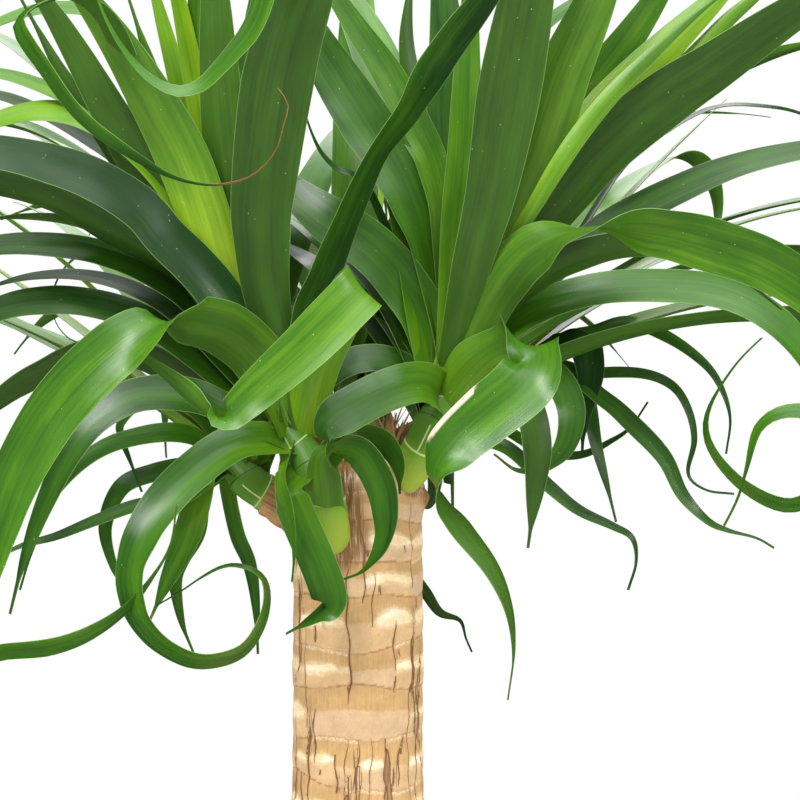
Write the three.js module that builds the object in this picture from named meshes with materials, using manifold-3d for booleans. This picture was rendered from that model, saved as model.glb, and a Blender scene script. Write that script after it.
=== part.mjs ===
// A potted ponytail palm: a trunk with a swollen foot, cut across at the top, in a plain round pot.
// Five leafy shoots have sprouted round the cut, and each is one solid of a stem with its blades.
// Millimetres, +Z up. The origin is the middle of the pot's underside, and the front is towards -Y.
import * as THREE from 'three';
import { mergeVertices } from 'three/addons/utils/BufferGeometryUtils.js';
import Module from 'manifold-3d';

const wasm = await Module();
wasm.setup();

// Driving dimensions
const CROWN_HEIGHT = 760; // the level of the crown point, round which the shoots leave the trunk
const GAP = 0.35; // clearance between pieces that lie against each other

const POT = {
  height: 230,
  footRadius: 92,
  rimRadius: 131,
  wall: 9,
  floor: 13,
  collarHeight: 34,
  collarStep: 5,
  edge: 2.5,
  holes: 4,
  holeRadius: 7,
  holeRing: 56,
  sides: 34,
};

const SOIL = { level: 205, relief: 2.6, seed: 5 };

const TRUNK = {
  foot: 150,
  top: CROWN_HEIGHT + 22,
  neckRadius: 32.4,
  widening: 5,
  swelling: 52,
  swellLevel: 232,
  swellAbove: 85,
  swellBelow: 95,
  slant: 0.28, // fall of the cut on top towards the right
  slantDepth: 24, // how far down from the top the slant reaches
  cutRelief: 1.2,
  bandHeight: [17, 30],
  coarseBelow: 420, // the level under which the bands are taller
  coarseTimes: 1.5,
  bandEdge: 1.2,
  bandStep: 1.1,
  flake: 0.75,
  footEdge: 6,
  sides: 20,
  stubSides: 14,
  seed: 3,
};

const BLADE = {
  thickness: 1.3,
  channel: 0.07, // rise of the edges over the midrib, as a share of half the width
  tip: 0.7,
  rootShare: 0.4, // the part of its width that a blade has where it leaves the stem
  rootLength: 45,
  rootDepth: 3.5, // how far under the stem's skin a blade starts
  swell: 0.07, // the share of the length over which the base shape dies away
  taperPower: 1.35,
  bendRoom: 0.75, // half the width against the radius of a bend in the blade's own plane
  steps: 48,
  turnEffort: 0.8, // how much half a turn counts against the whole length of a blade
  sectionsPerEffort: 2.3,
  leastSections: 5,
  mostSections: 12,
};

const STEM = { sides: 10, reference: [0.3, 1, 0.2] };

// Shoots: the middle line of each stem from inside the trunk outwards, and its radius there,
// both measured from the crown point. grown is how many blades the rule below adds to it.
const SHOOTS = {
  front_left: {
    path: [[-10, -22, -34], [-15, -36, -22], [-19, -38, -2], [-35, -31, 24]],
    radii: [8, 11, 11, 6],
    grown: 12,
  },
  front_right: {
    path: [[22, -12, -6], [29, -24, 6], [38, -27, 24], [46, -24, 46]],
    radii: [7, 9.5, 10, 6],
    grown: 14,
  },
  back_left: {
    path: [[-30, 12, -22], [-46, 13, -13], [-58, 12, -4], [-70, 16, 10]],
    radii: [8, 9, 9, 5],
    grown: 22,
  },
  back_right: {
    path: [[22, 18, 8], [38, 25, 18], [52, 30, 28], [64, 34, 40]],
    radii: [8, 9, 9, 5],
    grown: 24,
  },
  back: {
    path: [[0, 18, 2], [-2, 38, 18], [-4, 56, 34], [-5, 70, 56]],
    radii: [9, 11, 11, 6],
    grown: 26,
  },
};

// Woody stubs of the trunk that carry the two outer shoots, measured the same way.
const STUBS = [
  { path: [[-8, 5, -36], [-30, 12, -22], [-48, 13, -12]], radii: [14, 12, 10.6] },
  { path: [[4, 6, -8], [22, 18, 8], [37, 24.5, 17.3]], radii: [14, 12, 10.6] },
];

// The eye point in front of the plant from which the leaves below were noted, from the crown point.
const EYE = { distance: 800, across: 21, up: 35 };

// Leaves noted one by one as they look from the eye point: across, up and depth from the crown
// point, in mm at the trunk's distance. width is the full width, heading the compass direction in
// which the blade leaves its stem, base how many times the width its root has, swell the share of
// the length over which that base shape dies away, and full the share that keeps the full width.
// face turns the blade to the eye, in degrees: 0 shows its upper side, 180 its underside.
const NOTED_LEAVES = [
  {
    head: 'front_left', width: 34, heading: -90, base: 0.4, swell: 0.32, full: 0.55,
    face: [180, 180, 180, 180, 180, 180, 175, 170, 160, 150],
    route: [
      [-30, 15, -36], [-40, 62, -46], [-46, 90, -52], [-48, 115, -58], [-48, 135, -62],
      [-40, 195, -76], [-28, 235, -84], [-10, 275, -92], [12, 300, -100], [40, 312, -112],
    ],
  },
  {
    head: 'front_left', width: 26, heading: -130, base: 0.55, swell: 0.25, full: 0.5,
    face: [160, 165, 170, 170, 170, 165, 160, 150, 140],
    route: [
      [-36, 22, -32], [-66, 92, -44], [-79, 132, -52], [-90, 160, -58], [-105, 188, -64],
      [-121, 214, -70], [-137, 236, -76], [-154, 256, -84], [-178, 274, -94],
    ],
  },
  {
    head: 'front_left', width: 21, heading: -140, base: 0.6, swell: 0.25, full: 0.5,
    face: 165,
    route: [
      [-38, 20, -28], [-68, 80, -36], [-84, 110, -40], [-103, 142, -46], [-117, 166, -52],
      [-130, 189, -58], [-143, 212, -62], [-156, 233, -66], [-172, 253, -72], [-194, 268, -80],
    ],
  },
  {
    head: 'front_left', width: 15, heading: -90, base: 0.9, full: 0.4,
    face: 20,
    route: [
      [-34, 25, -28], [-62, 92, -34], [-74, 155, -38], [-82, 195, -40], [-90, 235, -42],
      [-100, 275, -44], [-112, 305, -50],
    ],
  },
  {
    head: 'front_left', width: 16, heading: -120, base: 0.9, full: 0.4,
    face: 10,
    route: [
      [-36, 26, -24], [-68, 110, -28], [-86, 180, -26], [-100, 232, -24], [-112, 275, -22],
    ],
  },
  {
    head: 'front_left', width: 22, heading: -90, base: 0.7, swell: 0.2, full: 0.5,
    face: [170, 170, 170, 170, 165, 160, 155],
    route: [
      [-32, 22, -28], [-56, 95, -38], [-66, 160, -48], [-70, 205, -54], [-72, 240, -60],
      [-76, 285, -68], [-84, 318, -78],
    ],
  },
  {
    head: 'front_left', width: 24, heading: 90, base: 0.7, swell: 0.2, full: 0.5,
    face: 10,
    route: [
      [-30, 22, -24], [-50, 95, -28], [-55, 145, -30], [-53, 185, -30], [-50, 220, -30],
      [-45, 260, -32], [-38, 290, -36],
    ],
  },
  {
    head: 'front_left', width: 24, heading: -160, base: 0.8, full: 0.4,
    face: [20, 30, 45, 50, 55, 55, 55, 50, 45, 40],
    route: [
      [-36, 20, -26], [-60, 85, -34], [-84, 128, -40], [-109, 158, -44], [-134, 174, -46],
      [-157, 179, -48], [-179, 175, -50], [-204, 166, -52], [-230, 150, -54], [-250, 128, -56],
    ],
  },
  {
    head: 'front_left', width: 17, heading: -150, base: 0.8, full: 0.4,
    face: 45,
    route: [
      [-36, 20, -24], [-76, 90, -30], [-94, 127, -34], [-109, 155, -38], [-124, 172, -40],
      [-139, 183, -42], [-159, 192, -44], [-179, 198, -46], [-205, 200, -48], [-235, 192, -50],
    ],
  },
  {
    head: 'front_left', width: 23, heading: -150, base: 0.7, full: 0.5,
    face: [20, 20, 25, 28, 30, 30, 30, 30, 35, 40, 40, 40, 40],
    route: [
      [-38, 15, -32], [-46, 50, -42], [-69, 85, -50], [-82, 101, -54], [-97, 116, -58],
      [-109, 130, -62], [-129, 143, -69], [-149, 151, -74], [-179, 158, -82], [-209, 160, -90],
      [-240, 154, -98], [-268, 140, -104], [-290, 116, -108],
    ],
  },
  {
    head: 'front_left', width: 22, heading: -160, base: 0.8, full: 0.4,
    face: [120, 125, 130, 135, 135, 140, 140, 140, 140, 140],
    route: [
      [-42, 14, -24], [-74, 82, -34], [-96, 104, -42], [-124, 120, -48], [-149, 134, -54],
      [-179, 143, -60], [-210, 143, -66], [-240, 134, -72], [-268, 116, -78], [-290, 90, -84],
    ],
  },
  {
    head: 'front_left', width: 20, heading: -165, base: 0.8, full: 0.4,
    face: [50, 50, 50, 50, 45, 45, 40, 40, 40],
    route: [
      [-44, 12, -20], [-79, 78, -30], [-104, 98, -36], [-129, 108, -40], [-154, 112, -44],
      [-179, 112, -46], [-209, 106, -48], [-238, 92, -50], [-262, 66, -52],
    ],
  },
  {
    head: 'front_left', width: 21, heading: -165, base: 0.8, full: 0.4,
    face: [45, 45, 45, 45, 40, 40, 40, 40, 40],
    route: [
      [-46, 8, -16], [-86, 60, -22], [-112, 76, -26], [-136, 83, -30], [-158, 84, -32],
      [-179, 80, -34], [-205, 66, -34], [-228, 46, -36], [-245, 22, -38],
    ],
  },
  {
    head: 'front_left', width: 23, heading: -170, base: 0.8, full: 0.4,
    face: [125, 130, 130, 130, 135, 135, 140, 140, 140, 140],
    route: [
      [-48, 5, -12], [-80, 38, -16], [-104, 54, -20], [-125, 59, -24], [-142, 55, -25],
      [-155, 49, -26], [-167, 43, -26], [-179, 35, -26], [-200, 18, -28], [-220, -2, -28],
    ],
  },
  {
    head: 'front_left', width: 27, heading: -125, base: 0.75, full: 0.28,
    face: [180, 180, 170, 150, 95, 50, 18, 8, 5, 5, 10, 20, 35, 60, 70, 65, 55, 45, 40, 45, 55, 60, 60],
    route: [
      [-35, 18, -36], [-46, 50, -50], [-63, 67, -68], [-79, 72, -81], [-92, 74, -92], [-104, 71, -97],
      [-121, 60, -101], [-139, 44, -105], [-152, 29, -107], [-161, 15, -109], [-170, -2, -110],
      [-177, -20, -110], [-184, -44, -108], [-191, -70, -106], [-194, -86, -104], [-190, -92, -102],
      [-176, -90, -101], [-154, -88, -98], [-134, -81, -96], [-114, -67, -94], [-98, -46, -92],
      [-93, -34, -90], [-91, -18, -88],
    ],
  },
  {
    head: 'front_left', width: 19, heading: -150, base: 0.9, full: 0.3,
    face: [40, 30, 25, 20, 20, 30, 45, 50, 57, 60, 60, 60, 62, 66, 70, 70, 70, 70, 70, 70],
    route: [
      [-36, 12, -36], [-50, 14, -48], [-64, 11, -58], [-79, 1, -68], [-95, -14, -78], [-107, -32, -86],
      [-113, -50, -90], [-112, -65, -93], [-107, -77, -94], [-96, -88, -92], [-79, -95, -90],
      [-60, -91, -86], [-50, -79, -82], [-46, -65, -80], [-48, -54, -79], [-56, -49, -78],
      [-66, -48, -76], [-77, -53, -75], [-89, -61, -72], [-101, -68, -70],
    ],
  },
  {
    head: 'front_left', width: 17, heading: -100, base: 1.1, full: 0.7,
    face: [40, 15, 5, 5, 5, 5, 15, 60, 50],
    route: [
      [-28, -2, -46], [-35, -10, -58], [-32, -18, -62], [-27, -30, -65], [-21, -44, -67],
      [-16, -57, -67], [-14, -66, -65], [-18, -72, -61], [-36, -82, -57],
    ],
  },
  {
    head: 'front_left', width: 17, heading: -80, base: 1.15, full: 0.55,
    face: [180, 180, 150, 45, 30, 30, 30, 40, 50, 50],
    route: [
      [-14, -34, -50], [-17, -12, -54], [-18, 4, -58], [-9, 11, -62], [2, 8, -66], [11, -6, -66],
      [14, -22, -64], [12, -37, -61], [3, -50, -58], [-8, -55, -55],
    ],
  },
  {
    head: 'front_left', width: 15, heading: -20, base: 1, full: 0.5,
    face: [40, 40, 35, 30, 30, 30],
    route: [
      [-22, 4, -42], [-10, 14, -48], [4, 17, -52], [14, 13, -54], [20, 3, -54], [21, -12, -53],
    ],
  },
  {
    head: 'front_left', width: 24, heading: -70, base: 0.8, full: 0.55,
    face: [10, 40, 55, 60, 65, 60, 40, 25, 10, 0],
    route: [
      [-28, 20, -30], [-26, 75, -40], [-17, 102, -46], [-5, 130, -52], [8, 158, -60], [24, 180, -68],
      [40, 206, -80], [60, 232, -94], [82, 258, -106], [104, 284, -114],
    ],
  },
  {
    head: 'front_left', width: 23, heading: -60, base: 0.8, full: 0.45,
    face: [170, 170, 160, null, 5, 5, 10, 30, 110, 140, 140, 130, 120],
    route: [
      [-31, 18, -38], [-22, 52, -56], [-8, 82, -74], [2, 91, -88], [-8, 80, -98], [-28, 60, -104],
      [-49, 41, -105], [-64, 27, -104], [-72, 27, -98], [-86, 40, -92], [-104, 54, -86],
      [-122, 66, -82], [-131, 71, -84],
    ],
  },
  {
    head: 'front_left', width: 20, heading: -160, base: 0.9, full: 0.3,
    face: [40, 40, 40, 35, 30, 30, 30, 30, 30],
    route: [
      [-44, 8, -30], [-66, 28, -42], [-84, 36, -52], [-109, 37, -60], [-129, 27, -66], [-143, 10, -70],
      [-156, -16, -70], [-167, -45, -68], [-174, -72, -64],
    ],
  },
  {
    head: 'front_left', width: 21, heading: -90, base: 0.9, full: 0.5,
    face: [null, null, null, null, null, null, 60, 50, 50, 55, 55, 55, 55, 55, 50, 40],
    route: [
      [-34, 20, -22], [-66, 110, -26], [-78, 190, -34], [-78, 250, -48], [-68, 282, -72],
      [-55, 285, -94], [-46, 266, -108], [-46, 238, -113], [-54, 218, -114], [-66, 204, -114],
      [-78, 192, -114], [-91, 189, -114], [-106, 197, -114], [-120, 214, -114], [-130, 235, -114],
      [-137, 262, -112],
    ],
  },
  {
    head: 'front_left', width: 17, heading: -120, base: 0.9, full: 0.2,
    route: [
      [-36, 22, -22], [-80, 110, -30], [-108, 180, -50], [-124, 222, -80], [-142, 236, -100],
      [-160, 232, -112], [-169, 225, -116], [-165, 214, -118], [-158, 204, -118], [-137, 176, -118],
      [-103, 152, -118], [-84, 144, -118], [-67, 143, -118], [-52, 148, -118], [-41, 160, -118],
      [-37, 174, -118], [-35, 184, -117], [-40, 191, -116],
    ],
  },
  {
    head: 'front_left', width: 16, heading: -150, base: 0.9, full: 0.4,
    face: 50,
    route: [
      [-36, 22, -20], [-70, 110, -24], [-96, 175, -30], [-122, 222, -36], [-150, 231, -40],
      [-179, 224, -44], [-205, 208, -46], [-226, 184, -48],
    ],
  },
  {
    head: 'front_right', width: 20, heading: -140, base: 0.9, full: 0.75,
    face: [60, 30, 15, 10, 10, 10, 15, null, null, 150],
    route: [
      [41, 34, -30], [36, 42, -42], [26, 43, -52], [13, 39, -61], [1, 33, -69], [-9, 27, -76],
      [-15, 21, -80], [-17, 17, -80], [-13, 14, -78], [-7, 17, -75],
    ],
  },
  {
    head: 'front_right', width: 28, heading: -70, base: 0.7, full: 0.36,
    face: [170, 170, 150, null, 20, 5, 5, 15, 75, 110, 128, 126, 118, 114, 112],
    route: [
      [44, 33, -34], [54, 48, -46], [68, 60, -58], [81, 63, -70], [90, 56, -84], [82, 42, -94],
      [64, 27, -99], [48, 12, -101], [39, -3, -100], [43, -17, -96], [54, -31, -93], [68, -50, -90],
      [76, -70, -88], [78, -91, -86], [75, -115, -84],
    ],
  },
  {
    head: 'front_right', width: 14, heading: -40, base: 1, full: 0.6,
    face: [null, null, null, 170, 165, 160, 160],
    route: [
      [48, 30, -20], [66, 46, -36], [80, 42, -50], [87, 28, -58], [90, 10, -60], [89, -8, -58],
      [85, -39, -54],
    ],
  },
  {
    head: 'front_right', width: 16, heading: -20, base: 1, full: 0.5,
    face: [-40, -50, -30, -20, -20, -40, -50, -50],
    route: [
      [50, 28, -8], [75, 48, -8], [96, 48, -12], [106, 32, -18], [104, 14, -20], [94, 3, -20],
      [80, 0, -22], [68, 8, -24],
    ],
  },
  {
    head: 'front_right', width: 20, heading: -15, base: 0.9, full: 0.35,
    face: [-30, -35, -40, -40, -40, -40, -40, -45, -50, -50, -50, -50, -50, -50, -50, -55, -60, -60, -60],
    route: [
      [46, 33, -24], [66, 62, -28], [92, 80, -32], [120, 89, -36], [150, 91, -38], [181, 88, -40],
      [206, 76, -43], [226, 54, -48], [238, 28, -52], [238, 4, -56], [228, -12, -60], [216, -17, -62],
      [204, -14, -64], [190, -5, -64], [178, 9, -64], [174, 22, -62], [178, 36, -60], [190, 54, -58],
      [202, 66, -56],
    ],
  },
  {
    head: 'front_right', width: 27, heading: -35, base: 0.8, full: 0.4,
    face: [180, 175, 150, 95, 40, 20, 10, 10, 20, 30, 40, 50, 50, 50, 50, 50, 50],
    route: [
      [46, 38, -28], [62, 82, -44], [84, 110, -60], [114, 121, -74], [148, 120, -86], [180, 112, -94],
      [208, 101, -98], [234, 83, -101], [250, 60, -102], [250, 40, -102], [237, 29, -101],
      [221, 29, -100], [210, 28, -98], [200, 20, -96], [195, 3, -94], [190, -14, -92], [183, -28, -90],
    ],
  },
  {
    head: 'front_right', width: 20, heading: -30, base: 0.9, full: 0.4,
    face: [-130, -130, -135, -140, -140, -140, -140, -140],
    route: [
      [46, 36, -20], [68, 73, -32], [90, 96, -42], [115, 108, -50], [138, 112, -56], [165, 108, -62],
      [190, 97, -66], [212, 80, -70],
    ],
  },
  {
    head: 'front_right', width: 20, heading: 10, base: 0.9, full: 0.4,
    face: -40,
    route: [
      [45, 40, -10], [82, 84, -4], [121, 118, 2], [141, 130, 3], [161, 140, 4], [184, 150, 6],
      [209, 157, 8], [236, 161, 10], [266, 159, 11], [292, 150, 12], [312, 134, 14],
    ],
  },
  {
    head: 'front_right', width: 28, heading: -30, base: 0.6, swell: 0.25, full: 0.5,
    face: [-160, -165, -165, -165, -165, -165, -160, -160, -155, -150, -145],
    route: [
      [44, 40, -28], [81, 110, -40], [96, 129, -42], [106, 141, -44], [124, 161, -48], [155, 186, -54],
      [178, 201, -58], [213, 225, -66], [246, 245, -72], [280, 260, -78], [312, 268, -84],
    ],
  },
  {
    head: 'front_right', width: 26, heading: -60, base: 0.45, swell: 0.35, full: 0.45,
    face: [180, 178, 175, 175, 172, 170, 170, 168, 165, 160, 155],
    route: [
      [43, 45, -24], [77, 113, -26], [91, 134, -27], [101, 151, -28], [114, 168, -28], [126, 183, -28],
      [141, 199, -28], [158, 216, -27], [177, 234, -26], [196, 252, -24], [216, 270, -22],
    ],
  },
  {
    head: 'front_right', width: 35, heading: -90, base: 0.4, swell: 0.45, full: 0.5,
    face: [180, 180, 180, 180, 175, 170, 160, 150],
    route: [
      [44, 43, -34], [55, 95, -50], [66, 137, -60], [75, 186, -71], [84, 235, -81], [93, 280, -90],
      [104, 312, -100], [120, 332, -112],
    ],
  },
  {
    head: 'front_right', width: 30, heading: -70, base: 0.5, swell: 0.4, full: 0.5,
    face: [180, 180, 178, 175, 175, 170, 165, 160],
    route: [
      [45, 43, -28], [71, 110, -40], [80, 137, -45], [90, 160, -50], [102, 197, -56], [119, 236, -63],
      [134, 275, -70], [150, 310, -78],
    ],
  },
  {
    head: 'front_right', width: 24, heading: 70, base: 0.5, swell: 0.4, full: 0.5,
    face: 10,
    route: [
      [45, 45, -18], [76, 120, -18], [94, 150, -20], [106, 175, -20], [121, 197, -20], [136, 217, -20],
      [149, 236, -20], [163, 258, -22], [180, 282, -24],
    ],
  },
  {
    head: 'front_right', width: 19, heading: 90, base: 0.7, swell: 0.3, full: 0.4,
    face: 10,
    route: [
      [43, 46, -16], [49, 115, -16], [53, 155, -16], [54, 185, -16], [55, 215, -14], [57, 250, -12],
      [62, 285, -10],
    ],
  },
  {
    head: 'front_right', width: 28, heading: 150, base: 0.6, swell: 0.25, full: 0.5,
    face: [60, 45, 35, 25, 15, 8, 0, 0, 0, 0],
    route: [
      [42, 42, -14], [34, 104, -12], [26, 132, -9], [15, 155, -6], [2, 176, -3], [-10, 195, 0],
      [-22, 215, 2], [-32, 235, 4], [-45, 256, 7], [-64, 274, 10],
    ],
  },
  {
    head: 'front_right', width: 18, heading: 150, base: 0.8, full: 0.5,
    face: [60, 50, 40, 25, 10, 0, 0, 0, 0, 0],
    route: [
      [43, 42, -10], [43, 85, -8], [42, 125, -5], [37, 152, -2], [28, 172, 0], [15, 198, 3],
      [0, 220, 6], [-12, 238, 8], [-26, 258, 10], [-46, 274, 12],
    ],
  },
  {
    head: 'front_right', width: 25, heading: -160, base: 0.8, full: 0.55,
    face: [30, 20, 10, 10, 10, 20, 30, 40],
    route: [
      [41, 38, -18], [34, 72, -20], [20, 96, -20], [5, 112, -18], [-13, 124, -15], [-30, 137, -9],
      [-45, 150, -3], [-62, 162, 6],
    ],
  },
  {
    head: 'front_right', width: 25, heading: 90, base: 0.6, swell: 0.3, full: 0.5,
    face: 10,
    route: [
      [44, 42, -8], [46, 110, -2], [47, 145, 2], [46, 175, 5], [45, 205, 8], [43, 235, 12],
      [40, 265, 16], [36, 290, 20],
    ],
  },
  {
    head: 'front_right', width: 17, heading: -150, base: 1, full: 0.6,
    face: 40,
    route: [
      [40, 34, -16], [20, 52, -26], [2, 55, -34], [-12, 46, -40], [-20, 32, -42],
    ],
  },
  {
    head: 'front_right', width: 18, heading: -160, base: 1, full: 0.5,
    face: 40,
    route: [
      [40, 38, -10], [26, 70, -8], [11, 82, -6], [-9, 86, -4], [-30, 80, 0],
    ],
  },
  {
    head: 'front_right', width: 8, heading: -10, base: 1.2, full: 0.4,
    face: -30,
    route: [
      [52, 14, -8], [72, 12, -8], [95, -8, -10], [110, -20, -10], [127, -28, -10], [137, -34, -10],
      [139, -46, -10], [135, -60, -10],
    ],
  },
  {
    head: 'back_left', width: 13, heading: -170, base: 1.2, full: 0.3,
    face: 45,
    route: [
      [-62, 8, -2], [-87, 17, -10], [-115, 15, -18], [-136, 5, -24], [-154, -15, -28],
      [-163, -40, -28], [-169, -60, -26],
    ],
  },
  {
    head: 'back_left', width: 12, heading: -170, base: 1.2, full: 0.4,
    face: 40,
    route: [
      [-64, 4, 8], [-84, 1, 6], [-102, -2, 0], [-118, -9, -4], [-126, -28, -6], [-122, -48, -6],
      [-116, -58, -6], [-108, -68, -6],
    ],
  },
  {
    head: 'back_left', width: 15, heading: -120, base: 1.2, full: 0.5,
    face: 20,
    route: [
      [-64, 6, 8], [-76, 4, 2], [-80, -15, -2], [-86, -35, -4], [-96, -57, -4], [-104, -75, -2],
    ],
  },
  {
    head: 'back_left', width: 11, heading: -150, base: 1.2, full: 0.4,
    face: 30,
    route: [
      [-62, 4, 14], [-76, -8, 18], [-80, -30, 20], [-88, -45, 20], [-91, -56, 20], [-88, -76, 20],
      [-82, -92, 20],
    ],
  },
  {
    head: 'back_left', width: 9, heading: -90, base: 1.2, full: 0.4,
    face: 30,
    route: [
      [-58, 2, 12], [-64, -10, 16], [-60, -32, 18], [-54, -47, 18], [-51, -67, 18], [-50, -92, 18],
    ],
  },
  {
    head: 'back_right', width: 18, heading: -10, base: 1, full: 0.5,
    face: [-60, -50, -30, -10, 0, 0],
    route: [
      [62, 30, 34], [95, 58, 34], [110, 66, 30], [116, 50, 26], [113, 28, 24], [112, 6, 24],
    ],
  },
  {
    head: 'back_right', width: 13, heading: 10, base: 1.1, full: 0.3,
    face: -45,
    route: [
      [64, 32, 38], [100, 62, 46], [119, 68, 50], [136, 73, 52], [155, 66, 54], [172, 54, 56],
      [181, 42, 56], [186, 26, 56], [184, 8, 56],
    ],
  },
  {
    head: 'back_right', width: 7.5, heading: 0, base: 1.1, full: 0.4,
    face: -40,
    route: [
      [66, 28, 34], [101, 44, 38], [119, 48, 38], [142, 48, 38], [157, 42, 38], [165, 30, 38],
      [168, 15, 38], [165, -2, 38], [174, -10, 38], [188, -12, 38],
    ],
  },
  {
    head: 'back_right', width: 10, heading: -20, base: 1.1, full: 0.5,
    face: -30,
    route: [
      [64, 26, 32], [98, 50, 32], [112, 42, 32], [119, 12, 30], [125, -10, 30], [129, -26, 30],
    ],
  },
  {
    head: 'back_right', width: 10, heading: -10, base: 1.1, full: 0.5,
    face: [-40, -40, -30, -20, -20, -20, -40, -40, -40, -40],
    route: [
      [66, 26, 28], [104, 44, 26], [123, 35, 24], [138, 22, 22], [153, 6, 22], [162, -12, 22],
      [174, -25, 22], [184, -30, 22], [199, -34, 22], [208, -39, 22],
    ],
  },
  {
    head: 'back_right', width: 9, heading: 0, base: 1.1, full: 0.3,
    face: -50,
    route: [
      [64, 22, 34], [90, 10, 40], [102, 7, 42], [114, 8, 42], [126, 14, 42], [136, 21, 42],
      [145, 34, 42],
    ],
  },
  {
    head: 'back_right', width: 12, heading: 10, base: 1, full: 0.3,
    face: -75,
    route: [
      [64, 36, 40], [104, 106, 56], [132, 150, 62], [156, 170, 64], [178, 181, 66], [200, 182, 68],
      [224, 177, 70], [250, 160, 72], [268, 136, 72],
    ],
  },
  {
    head: 'back', width: 13, heading: 60, base: 1.1, full: 0.4,
    face: [null, null, 30, 30, 30, 40, 40, 50, 50, 50],
    route: [
      [22, 16, 34], [24, 4, 46], [22, -20, 46], [23, -42, 44], [28, -54, 42], [34, -61, 42],
      [41, -71, 42], [51, -75, 42], [54, -84, 42], [57, -91, 42],
    ],
  },
];

// Rule for the other leaves: they follow each other round the stem by the golden angle, the older
// ones lower, wider apart and drooping further, and each keeps clear of the leaves before it.
// Pairs run from the youngest leaf of a head to its oldest, and angles are in degrees.
const RULE = {
  seed: 11,
  golden: 137.508,
  azimuthPlay: 40,
  azimuthPlayPerTry: 6,
  lowestSeat: 0.5, // the share of the stem's path at which the oldest leaf sits
  lift: [84, 20],
  liftPlay: 24,
  length: [220, 340], // at both ends of the row and in its middle
  droop: [30, 150],
  droopPlay: 50,
  curled: 0.45, // the share of leaves whose tips curl under
  curl: 260,
  drift: [30, 110],
  twist: [40, 140],
  width: [15, 30], // at both ends of the row and in its middle
  leastWidth: 13,
  base: 0.8,
  full: [0.5, 0.3],
  tries: 120,
  cell: 9,
  clearOther: 7,
  clearOwn: 3,
  crowded: 110,
  stemClear: 5,
  spacing: 5,
};

// What these leaves leave free, as seen from the eye point and measured from the crown point: the
// space before the noted ones, the gaps at both sides of the trunk, and the trunk itself.
const FREE = {
  middle: 21,
  halfWidth: 206,
  low: -180,
  high: 240,
  ground: -110, // the lowest that a blade hangs outside that window
  rootRun: 50, // the first stretch of a blade, which may start anywhere
  upperLevel: 60,
  upperDepth: -34,
  lowerDepth: -10,
  floors: [[-110, 30], [-45, 0], [-26, -25], [26, -120], [75, -25], [Infinity, 48]],
  trunkLevel: 30,
  trunkRadius: 40,
  rootRadius: 35,
};

const COLOURS = {
  pot: 0xb5623f,
  soil: 0x3b2a1e,
  trunk: 0xc9a377,
  leaf: 0x3f7d2a,
};

// Small helpers
const mix = (a, b, t) => a + (b - a) * t;
const radians = (degrees) => (degrees * Math.PI) / 180;
const vector = (list) => new THREE.Vector3(...list);
const CROWN = new THREE.Vector3(0, 0, CROWN_HEIGHT);

function mulberry(seed) {
  let state = seed >>> 0;
  return () => {
    state = (state + 0x6d2b79f5) >>> 0;
    let t = state;
    t = Math.imul(t ^ (t >>> 15), t | 1);
    t ^= t + Math.imul(t ^ (t >>> 7), t | 61);
    return ((t ^ (t >>> 14)) >>> 0) / 4294967296;
  };
}

// Closed solids from indexed or plain geometry, with shared corners merged and slivers dropped
function solidOf(geometry) {
  const bare = geometry.clone();
  bare.deleteAttribute('normal');
  bare.deleteAttribute('uv');
  const merged = mergeVertices(bare, 1e-4);
  const index = merged.index.array;
  const kept = [];
  for (let i = 0; i < index.length; i += 3) {
    const [a, b, c] = [index[i], index[i + 1], index[i + 2]];
    if (a !== b && b !== c && c !== a) kept.push(a, b, c);
  }
  return new wasm.Manifold(new wasm.Mesh({
    numProp: 3,
    vertProperties: new Float32Array(merged.attributes.position.array),
    triVerts: new Uint32Array(kept),
  }));
}

function geometryOf(solid) {
  const { vertProperties, triVerts } = solid.getMesh();
  const geometry = new THREE.BufferGeometry();
  geometry.setAttribute('position', new THREE.BufferAttribute(new Float32Array(vertProperties), 3));
  geometry.setIndex(new THREE.BufferAttribute(new Uint32Array(triVerts), 1));
  geometry.computeVertexNormals();
  return geometry;
}

function namedMesh(name, solid, colour, roughness) {
  const material = new THREE.MeshStandardMaterial({ color: colour, roughness, metalness: 0 });
  const mesh = new THREE.Mesh(geometryOf(solid), material);
  mesh.name = name;
  return mesh;
}

// A solid of revolution about +Z from [radius, height] points, which start and end on the axis
function turned(points, sides) {
  const profile = points.map(([radius, height]) => new THREE.Vector2(radius, height));
  const geometry = new THREE.LatheGeometry(profile, sides);
  geometry.rotateX(Math.PI / 2);
  return geometry;
}

// Moves every corner of a geometry by a function of its place
function displaced(geometry, move) {
  const places = geometry.attributes.position;
  const point = new THREE.Vector3();
  for (let i = 0; i < places.count; i += 1) {
    point.fromBufferAttribute(places, i);
    move(point);
    places.setXYZ(i, point.x, point.y, point.z);
  }
  return geometry;
}

// A closed skin over equal rings of corners, each ring given in order round the line it follows
function skinned(rings) {
  const around = rings[0].length;
  const places = rings.flat().flatMap((p) => [p.x, p.y, p.z]);
  const index = [];
  for (let i = 0; i < rings.length - 1; i += 1) {
    for (let k = 0; k < around; k += 1) {
      const a = i * around + k;
      const b = i * around + ((k + 1) % around);
      // both faces of a blade are cut alike, so that a waved one keeps its thickness
      if (k < around / 2) index.push(a, b, b + around, a, b + around, a + around);
      else index.push(a, b, a + around, b, b + around, a + around);
    }
  }
  const last = (rings.length - 1) * around;
  for (let k = 1; k < around - 1; k += 1) {
    index.push(0, k + 1, k);
    index.push(last, last + k, last + k + 1);
  }
  const geometry = new THREE.BufferGeometry();
  geometry.setAttribute('position', new THREE.Float32BufferAttribute(places, 3));
  geometry.setIndex(index);
  return geometry;
}

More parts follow.
